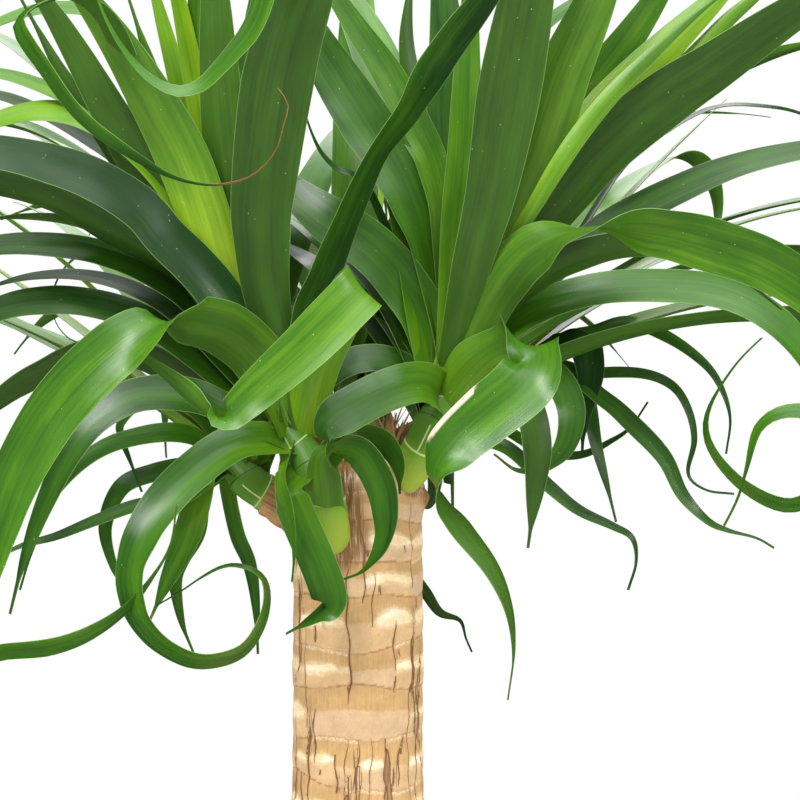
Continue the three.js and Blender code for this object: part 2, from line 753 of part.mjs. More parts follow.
// Pot: a tapered shell with a thick collar, rounded edges and drain holes round the middle
function wallRadius(height) {
  return mix(POT.footRadius, POT.rimRadius, height / POT.height) - POT.wall;
}

function makePot() {
  const { height, footRadius, edge, floor, collarHeight, collarStep } = POT;
  const outer = (level) => wallRadius(level) + POT.wall;
  const collar = height - collarHeight;
  const rim = outer(height) + collarStep;
  const shell = solidOf(turned([
    [0, 0],
    [footRadius - edge, 0],
    [footRadius, edge],
    [outer(collar - collarStep), collar - collarStep],
    [rim - 1.5, collar],
    [rim, collar + edge],
    [rim, height - edge],
    [rim - edge, height],
    [wallRadius(height) + edge, height],
    [wallRadius(height), height - edge],
    [wallRadius(floor + POT.wall), floor + POT.wall],
    [wallRadius(floor) - POT.wall, floor],
    [0, floor],
  ], POT.sides));
  const drains = [];
  for (let i = 0; i < POT.holes; i += 1) {
    const angle = (2 * Math.PI * (i + 0.5)) / POT.holes;
    const drill = new THREE.CylinderGeometry(POT.holeRadius, POT.holeRadius, floor * 3, 12);
    drill.rotateX(Math.PI / 2);
    drill.translate(POT.holeRing * Math.cos(angle), POT.holeRing * Math.sin(angle), 0);
    drains.push(solidOf(drill));
  }
  return drains.reduce((pot, drain) => pot.subtract(drain), shell);
}

// Trunk outline: a slim neck that widens a little, and the swollen foot of the species
function trunkRadius(height) {
  const spread = TRUNK.widening * ((TRUNK.top - height) / 560) ** 2;
  const reach = height > TRUNK.swellLevel ? TRUNK.swellAbove : TRUNK.swellBelow;
  const swell = TRUNK.swelling * Math.exp(-(((height - TRUNK.swellLevel) / reach) ** 2));
  return TRUNK.neckRadius + spread + swell;
}

// Soil: fills the pot to its level, uneven on top, with a plain hole that takes the trunk's foot
function makeSoil() {
  const bottom = POT.floor + GAP;
  const inside = (level) => wallRadius(level) - GAP;
  const hole = (level) => trunkRadius(level) + 3.4 * GAP;
  const { level } = SOIL;
  const innerEdge = hole(level);
  const outerEdge = inside(level);
  const profile = [
    [0, bottom],
    [inside(POT.floor) - POT.wall, bottom],
    [inside(bottom + POT.wall), bottom + POT.wall],
    [outerEdge, level - 2],
    [mix(outerEdge, innerEdge, 0.3), level],
    [mix(outerEdge, innerEdge, 0.65), level],
    [innerEdge, level],
  ];
  for (const stop of [level - 13, level - 27, TRUNK.foot + 10]) profile.push([hole(stop), stop]);
  profile.push([hole(TRUNK.foot), TRUNK.foot - GAP]);
  profile.push([0, TRUNK.foot - GAP]);
  const draw = mulberry(SOIL.seed);
  const phases = [draw(), draw(), draw()].map((share) => share * 2 * Math.PI);
  return solidOf(displaced(turned(profile, POT.sides), (p) => {
    if (p.z < level - 1) return;
    const angle = Math.atan2(p.y, p.x);
    const lumps = Math.sin(3 * angle + phases[0]) + Math.sin(7 * angle + phases[1] + p.x / 9);
    p.z += (SOIL.relief * (lumps + Math.sin(11 * angle + phases[2] + p.y / 7))) / 3;
  }));
}

// A tapered stem of round section along a path given from the crown point
function stemRings(path, radii, sides, extra) {
  const curve = new THREE.CatmullRomCurve3(path.map(vector), false, 'centripetal');
  const pieces = (path.length - 1) * 2;
  const rings = [];
  let side = vector(STEM.reference);
  for (let i = 0; i <= pieces; i += 1) {
    const t = i / pieces;
    const centre = curve.getPoint(t).add(CROWN);
    const along = curve.getTangent(t);
    side = side.clone().addScaledVector(along, -side.dot(along)).normalize();
    const other = along.clone().cross(side);
    const at = t * (radii.length - 1);
    const k = Math.min(Math.floor(at), radii.length - 2);
    const radius = mix(radii[k], radii[k + 1], at - k) + extra;
    if (i === 0) centre.addScaledVector(along, -extra);
    const ring = [];
    for (let j = 0; j < sides; j += 1) {
      const angle = (2 * Math.PI * j) / sides;
      ring.push(centre.clone()
        .addScaledVector(side, radius * Math.cos(angle))
        .addScaledVector(other, radius * Math.sin(angle)));
    }
    rings.push(ring);
  }
  return rings;
}

function stem(path, radii, sides, extra = 0) {
  return solidOf(skinned(stemRings(path, radii, sides, extra)));
}

// Trunk: bands of flaky bark with stepped scars between them, a slanted rough cut on top,
// two woody stubs, and a pocket round each shoot's foot
function makeTrunk() {
  const draw = mulberry(TRUNK.seed);
  const { foot, top, bandEdge } = TRUNK;
  const levels = [foot];
  while (levels.at(-1) < top - TRUNK.bandHeight[1] * 1.4) {
    const coarse = levels.at(-1) < TRUNK.coarseBelow ? TRUNK.coarseTimes : 1;
    levels.push(levels.at(-1) + mix(...TRUNK.bandHeight, draw()) * coarse);
  }
  levels.push(top);
  const profile = [[0, foot], [trunkRadius(foot) - TRUNK.footEdge, foot]];
  const bands = [];
  for (let i = 0; i < levels.length - 1; i += 1) {
    const [low, high] = [levels[i] + (i === 0 ? TRUNK.footEdge : 0), levels[i + 1]];
    const step = low > SOIL.level ? TRUNK.bandStep * (0.4 + 0.6 * draw()) : 0;
    profile.push([trunkRadius(low) + step, low + bandEdge]);
    profile.push([trunkRadius(high) - step * 0.6, high - bandEdge]);
    bands.push({ low, high, phases: [draw(), draw(), draw()].map((share) => share * 2 * Math.PI) });
  }
  const cut = TRUNK.neckRadius;
  profile.push([cut * 0.93, top + 0.6], [cut * 0.6, top - 0.8], [0, top]);
  const bark = displaced(turned(profile, TRUNK.sides), (p) => {
    const angle = Math.atan2(p.y, p.x);
    const radius = Math.hypot(p.x, p.y);
    const band = bands.find(({ low, high }) => p.z >= low && p.z <= high);
    if (band && p.z > SOIL.level + 4 && radius > cut * 0.95) {
      const [a, b, c] = band.phases;
      const flakes = Math.sin(3 * angle + a) + Math.sin(7 * angle + b) + Math.sin(11 * angle + c);
      const scale = 1 + (TRUNK.flake * flakes) / 3 / radius;
      p.x *= scale;
      p.y *= scale;
    }
    const cutShare = Math.max(0, (p.z - top) / TRUNK.slantDepth + 1);
    const relief = TRUNK.cutRelief * Math.sin(5 * angle) * (radius / cut);
    p.z -= cutShare * (TRUNK.slant * (p.x + cut) - relief);
  });
  const wood = STUBS.reduce(
    (body, { path, radii }) => body.add(stem(path, radii, TRUNK.stubSides)),
    solidOf(bark),
  );
  return Object.values(SHOOTS).reduce(
    (body, { path, radii }) => body.subtract(stem(path, radii, STEM.sides, GAP)),
    wood,
  );
}

// A point noted from the eye point, as a place from the crown point
function placed([across, up, depth]) {
  const near = 1 + depth / EYE.distance;
  return new THREE.Vector3(
    EYE.across + (across - EYE.across) * near,
    depth,
    EYE.up + (up - EYE.up) * near,
  );
}

// A smooth line through the points, read at even steps of its length, with the point number there
function evenLine(points, steps) {
  const first = points[0].clone().multiplyScalar(2).sub(points[1]);
  const last = points.at(-1).clone().multiplyScalar(2).sub(points.at(-2));
  const all = [first, ...points, last];
  const perSpan = 16;
  const fine = [];
  const numbers = [];
  for (let i = 0; i < points.length - 1; i += 1) {
    for (let k = 0; k < perSpan; k += 1) {
      const t = k / perSpan;
      fine.push(throughPoints(all.slice(i, i + 4), t));
      numbers.push(i + t);
    }
  }
  fine.push(points.at(-1).clone());
  numbers.push(points.length - 1);
  const run = [0];
  for (let i = 1; i < fine.length; i += 1) run.push(run.at(-1) + fine[i].distanceTo(fine[i - 1]));
  const line = [];
  const at = [];
  let j = 0;
  for (let k = 0; k <= steps; k += 1) {
    const want = (run.at(-1) * k) / steps;
    while (j < run.length - 2 && run[j + 1] < want) j += 1;
    const t = (want - run[j]) / Math.max(run[j + 1] - run[j], 1e-9);
    line.push(fine[j].clone().lerp(fine[j + 1], t));
    at.push(mix(numbers[j], numbers[j + 1], t));
  }
  return { line, at, length: run.at(-1) };
}

// The curve between the middle two of four points, which passes through them
function throughPoints([p0, p1, p2, p3], t) {
  const value = (a, b, c, d) => 0.5 * (2 * b + (c - a) * t + (2 * a - 5 * b + 4 * c - d) * t * t
    + (3 * b - a - 3 * c + d) * t * t * t);
  return new THREE.Vector3(
    value(p0.x, p1.x, p2.x, p3.x),
    value(p0.y, p1.y, p2.y, p3.y),
    value(p0.z, p1.z, p2.z, p3.z),
  );
}

// Directions along a line, and width directions carried along it without twisting
function frames(line, start) {
  const last = line.length - 1;
  const tangents = line.map((p, i) => line[Math.min(i + 1, last)].clone()
    .sub(line[Math.max(i - 1, 0)]).normalize());
  let width = start.clone().addScaledVector(tangents[0], -start.dot(tangents[0])).normalize();
  const widths = [width];
  for (let i = 0; i < last; i += 1) {
    const step = line[i + 1].clone().sub(line[i]);
    const size = step.lengthSq();
    const carried = width.clone().addScaledVector(step, (-2 / size) * step.dot(width));
    const turnedTangent = tangents[i].clone()
      .addScaledVector(step, (-2 / size) * step.dot(tangents[i]));
    const bend = tangents[i + 1].clone().sub(turnedTangent);
    const bendSize = bend.lengthSq();
    if (bendSize > 1e-12) carried.addScaledVector(bend, (-2 / bendSize) * bend.dot(carried));
    width = carried.addScaledVector(tangents[i + 1], -carried.dot(tangents[i + 1])).normalize();
    widths.push(width);
  }
  return { tangents, widths };
}

// The width directions after turning each by its roll in degrees
function rolled(tangents, widths, roll) {
  return widths.map((width, i) => {
    const angle = radians(roll(i));
    return width.clone().multiplyScalar(Math.cos(angle))
      .add(tangents[i].clone().cross(width).multiplyScalar(Math.sin(angle)));
  });
}

// A list of numbers read between its entries, with soft steps
function readList(values, at) {
  const i = Math.min(Math.floor(at), values.length - 2);
  const t = at - i;
  return mix(values[i], values[i + 1], t * t * (3 - 2 * t));
}

// Half the blade's width at each step: its outline, held back where the line bends in its own plane
function halfWidths(leaf) {
  const { steps, tip } = BLADE;
  const swell = leaf.swell ?? BLADE.swell;
  const halves = [];
  for (let i = 0; i <= steps; i += 1) {
    const s = i / steps;
    const bulge = 1 + (leaf.base - 1) * Math.exp(-((s / swell) ** 2));
    const taper = 1 - Math.max(0, (s - leaf.full) / (1 - leaf.full)) ** BLADE.taperPower;
    halves.push(Math.max((leaf.width / 2) * bulge * taper, tip));
  }
  const stepLength = leaf.length / steps;
  const room = halves.map((half, i) => {
    const before = leaf.tangents[Math.max(i - 1, 0)];
    const after = leaf.tangents[Math.min(i + 1, steps)];
    const bend = Math.abs(after.clone().sub(before).dot(leaf.sides[i])) / (2 * stepLength);
    return Math.min(half, BLADE.bendRoom / Math.max(bend, 1e-6));
  });
  return halves.map((half, i) => {
    let least = half;
    for (let k = Math.max(0, i - 2); k <= Math.min(steps, i + 2); k += 1) {
      least = Math.min(least, room[k] * (1 + 0.12 * Math.abs(k - i)));
    }
    return Math.max(least, tip);
  });
}

// The stem's middle, direction and radius at a share of its path
function along(shoot, t) {
  const at = t * (shoot.path.length - 1);
  const i = Math.min(Math.floor(at), shoot.path.length - 2);
  const [a, b] = [vector(shoot.path[i]), vector(shoot.path[i + 1])];
  return {
    centre: a.clone().lerp(b, at - i),
    axis: b.clone().sub(a).normalize(),
    radius: mix(shoot.radii[i], shoot.radii[i + 1], at - i),
  };
}

// A blade's root inside a stem, out from the middle line in the given direction
function rootIn({ centre, radius }, out) {
  return centre.clone().addScaledVector(out, Math.max(radius - BLADE.rootDepth, 1.5));
}

// A root on the free part of the stem, level with one point and on the side of another
function rootAt(shoot, near, towards) {
  const stops = 40;
  const freeFrom = 0.3;
  let best = null;
  for (let k = 0; k <= stops; k += 1) {
    const here = along(shoot, mix(freeFrom, 1, k / stops));
    const far = here.centre.distanceToSquared(near);
    if (best === null || far < best.far) best = { far, ...here };
  }
  const out = towards.clone().sub(best.centre);
  out.addScaledVector(best.axis, -out.dot(best.axis)).normalize();
  return rootIn(best, out);
}

// The rolls that turn a noted blade's face to the eye as noted, between them evenly spaced ones
function notedRolls(faces, { line, at }, { tangents, widths }) {
  const eye = new THREE.Vector3(EYE.across, -EYE.distance, EYE.up);
  const known = [];
  faces.forEach((face, k) => {
    if (face === null) return;
    let i = 0;
    at.forEach((number, j) => {
      if (Math.abs(number - k) < Math.abs(at[i] - k)) i = j;
    });
    const view = line[i].clone().sub(eye).normalize();
    const flat = tangents[i].clone().cross(view).normalize();
    const deep = tangents[i].clone().cross(flat);
    const want = flat.multiplyScalar(Math.cos(radians(face)))
      .addScaledVector(deep, Math.sin(radians(face)));
    const normal = tangents[i].clone().cross(widths[i]);
    let roll = (Math.atan2(want.dot(normal), want.dot(widths[i])) * 180) / Math.PI;
    if (known.length > 0) {
      while (roll - known.at(-1).roll > 180) roll -= 360;
      while (roll - known.at(-1).roll < -180) roll += 360;
    }
    known.push({ k, roll });
  });
  return faces.map((face, k) => {
    const before = known.filter((entry) => entry.k <= k).at(-1) ?? known[0];
    const after = known.find((entry) => entry.k >= k) ?? known.at(-1);
    if (before.k === after.k) return before.roll;
    return mix(before.roll, after.roll, (k - before.k) / (after.k - before.k));
  });
}

function notedLeaf(spec) {
  const points = spec.route.map(placed);
  points[0] = rootAt(SHOOTS[spec.head], points[0], points[1]);
  const path = evenLine(points, BLADE.steps);
  const heading = radians(spec.heading);
  const carried = frames(path.line, new THREE.Vector3(-Math.sin(heading), Math.cos(heading), 0));
  let rolls = points.map(() => 0);
  if (spec.face !== undefined) {
    const faces = Array.isArray(spec.face) ? spec.face : points.map(() => spec.face);
    rolls = notedRolls(faces, path, carried);
  }
  const { tangents } = carried;
  const sides = rolled(tangents, carried.widths, (i) => readList(rolls, path.at[i]));
  const leaf = { ...spec, line: path.line, length: path.length, tangents, sides };
  leaf.halves = halfWidths(leaf);
  return leaf;
}

// The i-th of n leaves that the rule gives a head, from the youngest in its heart to the oldest
function grownLeaf(head, i, n, attempt, draw) {
  const share = i / (n - 1);
  const play = (span) => (draw() - 0.5) * span;
  const times = () => 0.85 + 0.3 * draw();
  const turn = play(RULE.azimuthPlay + RULE.azimuthPlayPerTry * attempt);
  const azimuth = radians(RULE.golden * i + turn);
  const seat = along(SHOOTS[head], mix(1, RULE.lowestSeat, share));
  const side = seat.axis.clone().cross(vector(STEM.reference)).normalize();
  const other = seat.axis.clone().cross(side);
  const out = side.multiplyScalar(Math.cos(azimuth)).addScaledVector(other, Math.sin(azimuth));
  const lift = radians(mix(...RULE.lift, share ** 0.8) + play(RULE.liftPlay));
  const start = seat.axis.clone().multiplyScalar(Math.sin(lift)).addScaledVector(out, Math.cos(lift));
  start.normalize();
  const heading = Math.atan2(start.y, start.x);
  const rise = Math.asin(start.z);
  const length = mix(...RULE.length, Math.sin(Math.PI * share ** 0.6)) * times();
  const droop = radians(mix(...RULE.droop, share) + play(RULE.droopPlay));
  const curlSize = draw();
  const curl = draw() < RULE.curled ? radians(RULE.curl) * curlSize : 0;
  const drift = radians(play(mix(...RULE.drift, share)));
  const twist = play(mix(...RULE.twist, share));
  const spread = mix(...RULE.width, Math.sin(Math.PI * Math.min(share * 1.2, 1) ** 0.7));
  const width = Math.max(spread * times(), RULE.leastWidth);
  const { steps } = BLADE;
  const line = [rootIn(seat, out)];
  for (let k = 0; k < steps; k += 1) {
    const s = (k + 0.5) / steps;
    const e = rise - droop * s ** 1.25 - curl * Math.max(0, (s - 0.65) / 0.35) ** 1.6;
    const h = heading + drift * s * s;
    const step = new THREE.Vector3(Math.cos(e) * Math.cos(h), Math.cos(e) * Math.sin(h), Math.sin(e));
    line.push(line.at(-1).clone().addScaledVector(step, length / steps));
  }
  const { tangents, widths } = frames(line, new THREE.Vector3(-Math.sin(heading), Math.cos(heading), 0));
  const sides = rolled(tangents, widths, (k) => twist * (k / steps) ** 1.5);
  const outline = { width, base: RULE.base, full: mix(...RULE.full, share) };
  const leaf = { head, line, length, tangents, sides, ...outline };
  leaf.halves = halfWidths(leaf);
  return leaf;
}

// Places all over a blade, each with its run from the root
function spotsOn(leaf) {
  const spots = [];
  leaf.line.forEach((centre, i) => {
    const half = leaf.halves[i];
    const count = 2 * Math.max(1, Math.ceil(half / RULE.spacing));
    for (let k = 0; k <= count; k += 1) {
      const p = centre.clone().addScaledVector(leaf.sides[i], half * ((2 * k) / count - 1));
      spots.push({ p, run: (leaf.length * i) / BLADE.steps });
    }
  });
  return spots;
}

// Whether a leaf keeps out of what is to stay free
function keepsFree(spots) {
  return spots.every(({ p, run }) => {
    const trunkRoom = run < FREE.rootRun ? FREE.rootRadius : FREE.trunkRadius;
    if (p.z < FREE.trunkLevel && Math.hypot(p.x, p.y) < trunkRoom) return false;
    if (run < FREE.rootRun) return true;
    const near = 1 + p.y / EYE.distance;
    const across = EYE.across + (p.x - EYE.across) / near;
    const up = EYE.up + (p.z - EYE.up) / near;
    const beside = Math.abs(across - FREE.middle) >= FREE.halfWidth;
    if (beside || up <= FREE.low || up >= FREE.high) return p.z >= FREE.ground;
    if (p.y < (up > FREE.upperLevel ? FREE.upperDepth : FREE.lowerDepth)) return false;
    return up >= FREE.floors.find(([edge]) => across < edge)[1];
  });
}

function clearOfStems(head, spots) {
  return Object.entries(SHOOTS).every(([name, shoot]) => {
    if (name === head) return true;
    for (let k = 0; k <= 12; k += 1) {
      const { centre, radius } = along(shoot, k / 12);
      const room = (radius + RULE.stemClear) ** 2;
      if (spots.some(({ p }) => p.distanceToSquared(centre) < room)) return false;
    }
    return true;
  });
}

// Space already taken by leaves, kept in cells so that near ones are found quickly
class TakenSpace {
  constructor() {
    this.cells = new Map();
  }

  cellOf(p, dx = 0, dy = 0, dz = 0) {
    const at = [p.x, p.y, p.z].map((value) => Math.floor(value / RULE.cell));
    return `${at[0] + dx},${at[1] + dy},${at[2] + dz}`;
  }

  add(head, spots) {
    spots.forEach(({ p, run }) => {
      const key = this.cellOf(p);
      if (!this.cells.has(key)) this.cells.set(key, []);
      this.cells.get(key).push({ p, run, head });
    });
  }

  meets(head, spots) {
    const reach = [-1, 0, 1];
    const cells = reach.flatMap((x) => reach.flatMap((y) => reach.map((z) => [x, y, z])));
    return spots.some(({ p, run }) => cells.some((shift) => {
      const others = this.cells.get(this.cellOf(p, ...shift)) ?? [];
      return others.some((other) => {
        const gap = p.distanceToSquared(other.p);
        if (other.head !== head) return gap < RULE.clearOther ** 2;
        const free = run > RULE.crowded && other.run > RULE.crowded;
        return free && gap < RULE.clearOwn ** 2;
      });
    }));
  }
}

function allLeaves() {
  const leaves = NOTED_LEAVES.map(notedLeaf);
  const taken = new TakenSpace();
  leaves.forEach((leaf) => taken.add(leaf.head, spotsOn(leaf)));
  const draw = mulberry(RULE.seed);
  const most = Math.max(...Object.values(SHOOTS).map((shoot) => shoot.grown));
  for (let i = 0; i < most; i += 1) {
    for (const [head, shoot] of Object.entries(SHOOTS)) {
      if (i >= shoot.grown) continue;
      for (let attempt = 0; attempt < RULE.tries; attempt += 1) {
        const leaf = grownLeaf(head, i, shoot.grown, attempt, draw);
        const spots = spotsOn(leaf);
        if (keepsFree(spots) && !taken.meets(head, spots) && clearOfStems(head, spots)) {
          taken.add(head, spots);
          leaves.push(leaf);
          break;
        }
      }
    }
  }
  return leaves;
}

// The steps of a blade at which the solid has a section, closer together where it turns
function sectionSteps(leaf) {
  const { steps } = BLADE;
  const effort = [0];
  for (let i = 0; i < steps; i += 1) {
    const turn = leaf.tangents[i].angleTo(leaf.tangents[i + 1]);
    const twist = leaf.sides[i].angleTo(leaf.sides[i + 1]);
    const turning = Math.max(turn, twist) / Math.PI;
    effort.push(effort.at(-1) + 1 / steps + BLADE.turnEffort * turning);
  }
  const total = effort.at(-1);
  const wanted = Math.max(BLADE.leastSections, Math.round(1 + total * BLADE.sectionsPerEffort));
  const sections = Math.min(BLADE.mostSections, wanted);
  const chosen = [];
  for (let k = 0; k <= sections; k += 1) {
    const i = effort.findIndex((value) => value >= (total * k) / sections - 1e-9);
    if (chosen.at(-1) !== i) chosen.push(i);
  }
  return chosen;
}

// A blade: a shallow channel, thickest on its midrib, narrow at the stem and running out to its tip
function blade(leaf) {
  const rings = sectionSteps(leaf).map((i) => {
    const run = (leaf.length * i) / BLADE.steps;
    const centre = leaf.line[i].clone().add(CROWN);
    const side = leaf.sides[i];
    const normal = leaf.tangents[i].clone().cross(side);
    const half = leaf.halves[i] * mix(BLADE.rootShare, 1, Math.min(1, run / BLADE.rootLength));
    const rise = half * BLADE.channel;
    const corner = (across, up) => centre.clone()
      .addScaledVector(side, across).addScaledVector(normal, up);
    const { thickness } = BLADE;
    return [
      corner(-half, rise),
      corner(0, -thickness / 2),
      corner(half, rise),
      corner(0, thickness / 2),
    ];
  });
  return solidOf(skinned(rings));
}

// A head: the stem of a shoot with its blades, in one solid
function makeHead(name, leaves) {
  const { path, radii } = SHOOTS[name];
  const blades = leaves.filter((leaf) => leaf.head === name).map(blade);
  const whole = blades.reduce((head, piece) => head.add(piece), stem(path, radii, STEM.sides));
  // only the outer skin is kept, which fills the small hollows shut in between crossing blades
  return whole.decompose().reduce((a, b) => (a.volume() > b.volume() ? a : b));
}

const plant = new THREE.Group();
plant.add(namedMesh('pot', makePot(), COLOURS.pot, 0.8));
plant.add(namedMesh('soil', makeSoil(), COLOURS.soil, 0.95));
plant.add(namedMesh('trunk', makeTrunk(), COLOURS.trunk, 0.85));
const leaves = allLeaves();
for (const head of Object.keys(SHOOTS)) {
  plant.add(namedMesh(`leaf_head_${head}`, makeHead(head, leaves), COLOURS.leaf, 0.45));
}

export default plant;
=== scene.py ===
"""A potted ponytail palm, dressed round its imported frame: leaves, shoots, bark, soil and pot.

Shapes are worked out in millimetres and put in place in metres. The crown point, from which leaves
and shoots are measured, lies on the trunk's axis under the cut.
"""
import math

import bpy
import numpy as np
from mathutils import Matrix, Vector, kdtree


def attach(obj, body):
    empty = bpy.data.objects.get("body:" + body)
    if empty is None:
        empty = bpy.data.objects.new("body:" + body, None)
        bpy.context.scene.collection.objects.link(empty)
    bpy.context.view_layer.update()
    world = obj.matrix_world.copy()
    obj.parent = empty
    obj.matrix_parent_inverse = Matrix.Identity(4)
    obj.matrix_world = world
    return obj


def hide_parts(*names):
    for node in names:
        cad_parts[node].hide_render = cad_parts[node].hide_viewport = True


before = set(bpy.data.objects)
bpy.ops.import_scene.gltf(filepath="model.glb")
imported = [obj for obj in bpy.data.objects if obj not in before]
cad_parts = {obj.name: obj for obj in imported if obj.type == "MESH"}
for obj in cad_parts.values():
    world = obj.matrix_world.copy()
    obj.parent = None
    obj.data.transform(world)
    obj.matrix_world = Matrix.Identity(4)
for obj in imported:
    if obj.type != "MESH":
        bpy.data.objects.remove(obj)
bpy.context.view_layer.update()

# Driving dimensions, in millimetres as in the frame
MM = 0.001
FULL_TURN = 2 * math.pi
CROWN_HEIGHT = 760.0
CROWN = (0, 0, CROWN_HEIGHT)

# A distance that is past every mark on the bark and the sheaths
FAR = 9.0

POT = {
    "height": 230.0, "foot_radius": 92.0, "rim_radius": 131.0, "wall": 9.0, "floor": 13.0,
    "hole_radius": 12, "collar_height": 34.0, "collar_step": 5.0, "edge": 2.5, "sides": 160,
    "step": 3.0, "turning": 0.16,
}
SOIL = {
    "level": 205.0, "relief": 2.6, "dip": 1.4, "rings": 46, "sides": 180, "seed": 5,
    "crumbs": 900, "crumb_size": (0.8, 3.2), "crumb_sides": 8, "crumb_rows": 5,
}
TRUNK = {
    "foot": 150.0, "top": CROWN_HEIGHT + 22, "neck_radius": 32.4, "widening": 5.0,
    "widening_run": 560, "swelling": 52.0, "swell_level": 232.0, "swell_above": 85.0,
    "swell_below": 95.0, "slant": 0.28, "slant_depth": 24.0, "sides": 216, "fine_from": 575.0,
    "fine_step": 0.9, "coarse_step": 3.0, "seed": 3,
}

# Bark: bands as height, least and most band height. Cracks come by length and half width, and a
# share of them is wide and torn. Each plate has its colours split at a share of its height, a
# cream patch or none, and a scar line or none. callus is a lump's facing, height and reach.
BARK = {
    "bands": ((380, 26, 38), (540, 21, 28), (670, 21, 28), (720, 13, 17)), "wave": 0.11,
    "cracks": 640, "crack_length": (4.0, 70.0), "crack_width": (0.2, 0.66), "wide": 0.09,
    "wide_reach": (9, 24), "wide_width": (1.4, 2.6), "least_plate": 11.0, "least_breaks": 7,
    "split": (0.36, 0.52), "cream": (1.4, 6.4), "usual_band": 24, "flat": 0.14, "patched": 0.72,
    "scarred": 0.45, "callus": (-10.0, 747.0, 6.5), "aged": 12.0,
}
RELIEF = {
    "plate": 0.55, "foot": 0.3, "proud": 0.5, "fibres": 0.1, "deep": 1.3, "deepest": 1.4,
    "callus": 4.2,
}
CUT = {"rows": 22, "ridges": 0.8, "lumps": 0.6, "hollow": 2.6, "age": 0.9}

BLADE = {
    "tip": 0.7, "root_depth": 3.5, "least_root": 1.5, "lowest_root": 0.3, "swell": 0.07,
    "taper_power": 1.35, "bend_room": 0.75, "bend_spread": 0.12, "steps": 48, "finer": 2,
    "across": 8, "thickness": 0.8, "rim": 0.25, "least_half": 0.4, "root_channel": 0.38,
    "channel": 0.15, "fold": 0.6, "fold_softness": 0.05, "ripple": 0.04, "heart": 34,
    "dry": 0.012, "dry_width": 0.35, "fade": (0.25, 0.95, 0.7), "seed": 1000,
}
STEM_REFERENCE = (0.3, 1.0, 0.2)

SHOOTS = {
    "front_left": {
        "path": [(-10, -22, -34), (-15, -36, -22), (-19, -38, -2), (-35, -31, 24)],
        "radii": [8, 11, 11, 6], "grown": 12, "overlap": -62,
    },
    "front_right": {
        "path": [(22, -12, -6), (29, -24, 6), (38, -27, 24), (46, -24, 46)],
        "radii": [7, 9.5, 10, 6], "grown": 14, "overlap": -102,
    },
    "back_left": {
        "path": [(-30, 12, -22), (-46, 13, -13), (-58, 12, -4), (-70, 16, 10)],
        "radii": [8, 9, 9, 5], "grown": 22, "overlap": -120,
    },
    "back_right": {
        "path": [(22, 18, 8), (38, 25, 18), (52, 30, 28), (64, 34, 40)],
        "radii": [8, 9, 9, 5], "grown": 24, "overlap": -60,
    },
    "back": {
        "path": [(0, 18, 2), (-2, 38, 18), (-4, 56, 34), (-5, 70, 56)],
        "radii": [9, 11, 11, 6], "grown": 26, "overlap": 80,
    },
}

# Sheaths round a shoot: where along the stem each ends, how far that end slants, and how far
# round the stem from the last sheath's overlap the next one's lies, in degrees.
SHEATH = {
    "levels": (0.39, 0.6, 0.8), "tilt": 0.03, "turn": 150, "step": 0.5, "rows": 130, "around": 84,
    "streak_radius": 11,
}

STUB = {"rows": 90, "around": 84, "rings": 0.9, "lumps": 0.35, "seed": 400}
STUBS = [
    {"path": [(-8, 5, -36), (-30, 12, -22), (-48, 13, -12)], "radii": [14, 12, 10.6]},
    {"path": [(4, 6, -8), (22, 18, 8), (37, 24.5, 17.3)], "radii": [14, 12, 10.6]},
]

# Dry strips left of old sheaths, measured from the crown point
FIBRES = {
    "count": 34, "foot": (17, -20, 8), "spread": (6, 5, 2), "length": (9, 25), "half": (0.5, 1.5),
    "thickness": 0.25, "rows": 12, "seed": 21,
}

# The eye point in front of the plant, measured from the crown point. The camera stands there.
EYE = {"distance": 800.0, "across": 21.0, "up": 35.0}
LENS = 72.0
SENSOR = 36.0

# Stage: each lamp's place and size in metres, and its power in watts
FLOOR = {"radius": 2200.0, "level": -0.5, "sides": 128, "tone": (0.88, 0.88, 0.88)}
LIGHTS = {
    "key_light": ((-0.6, -1.2, 2.1), 0.8, 24),
    "top_light": ((0.2, -0.3, 2.6), 2.6, 44),
    "fill_light": ((1.4, -0.9, 1.3), 0.6, 7),
    "back_light": ((0.0, 1.8, 2.2), 1.6, 16),
}

# Colours, as red, green and blue in linear light
LEAF_DARK = (0.010, 0.046, 0.006)
LEAF_MID = (0.044, 0.150, 0.006)
LEAF_FRESH = (0.130, 0.290, 0.008)
LEAF_LIME = (0.290, 0.460, 0.008)
LEAF_UNDER = (0.058, 0.118, 0.014)
LEAF_MARGIN = (0.200, 0.330, 0.100)
LEAF_DRY = (0.210, 0.085, 0.025)
LEAF_SPECK = (0.420, 0.520, 0.330)
LEAF_WORN = (0.720, 0.560, 0.440)
SHEATH_GREEN = (0.085, 0.215, 0.018)
SHEATH_MID = (0.200, 0.360, 0.030)
SHEATH_YELLOW = (0.290, 0.400, 0.040)
SHEATH_EDGE = (0.560, 0.640, 0.250)
SHEATH_GROOVE = (0.030, 0.060, 0.012)
BARK_TAN = (0.575, 0.380, 0.190)
BARK_OCHRE = (0.500, 0.312, 0.132)
BARK_ROSE = (0.570, 0.385, 0.220)
BARK_CREAM = (0.790, 0.610, 0.320)
BARK_PALE = (0.780, 0.650, 0.480)
BARK_CRACK = (0.150, 0.066, 0.028)
BARK_FIBRE = (0.300, 0.160, 0.075)
BARK_OLD = (0.235, 0.115, 0.045)
CLAY = (0.420, 0.165, 0.085)
CLAY_LIGHT = (0.560, 0.290, 0.180)
CLAY_BLOOM = (0.680, 0.520, 0.430)
SOIL_DARK = (0.020, 0.011, 0.006)
SOIL_BROWN = (0.075, 0.040, 0.020)
CRUMB_BARK = (0.160, 0.080, 0.040)
CRUMB_PUMICE = (0.550, 0.500, 0.420)

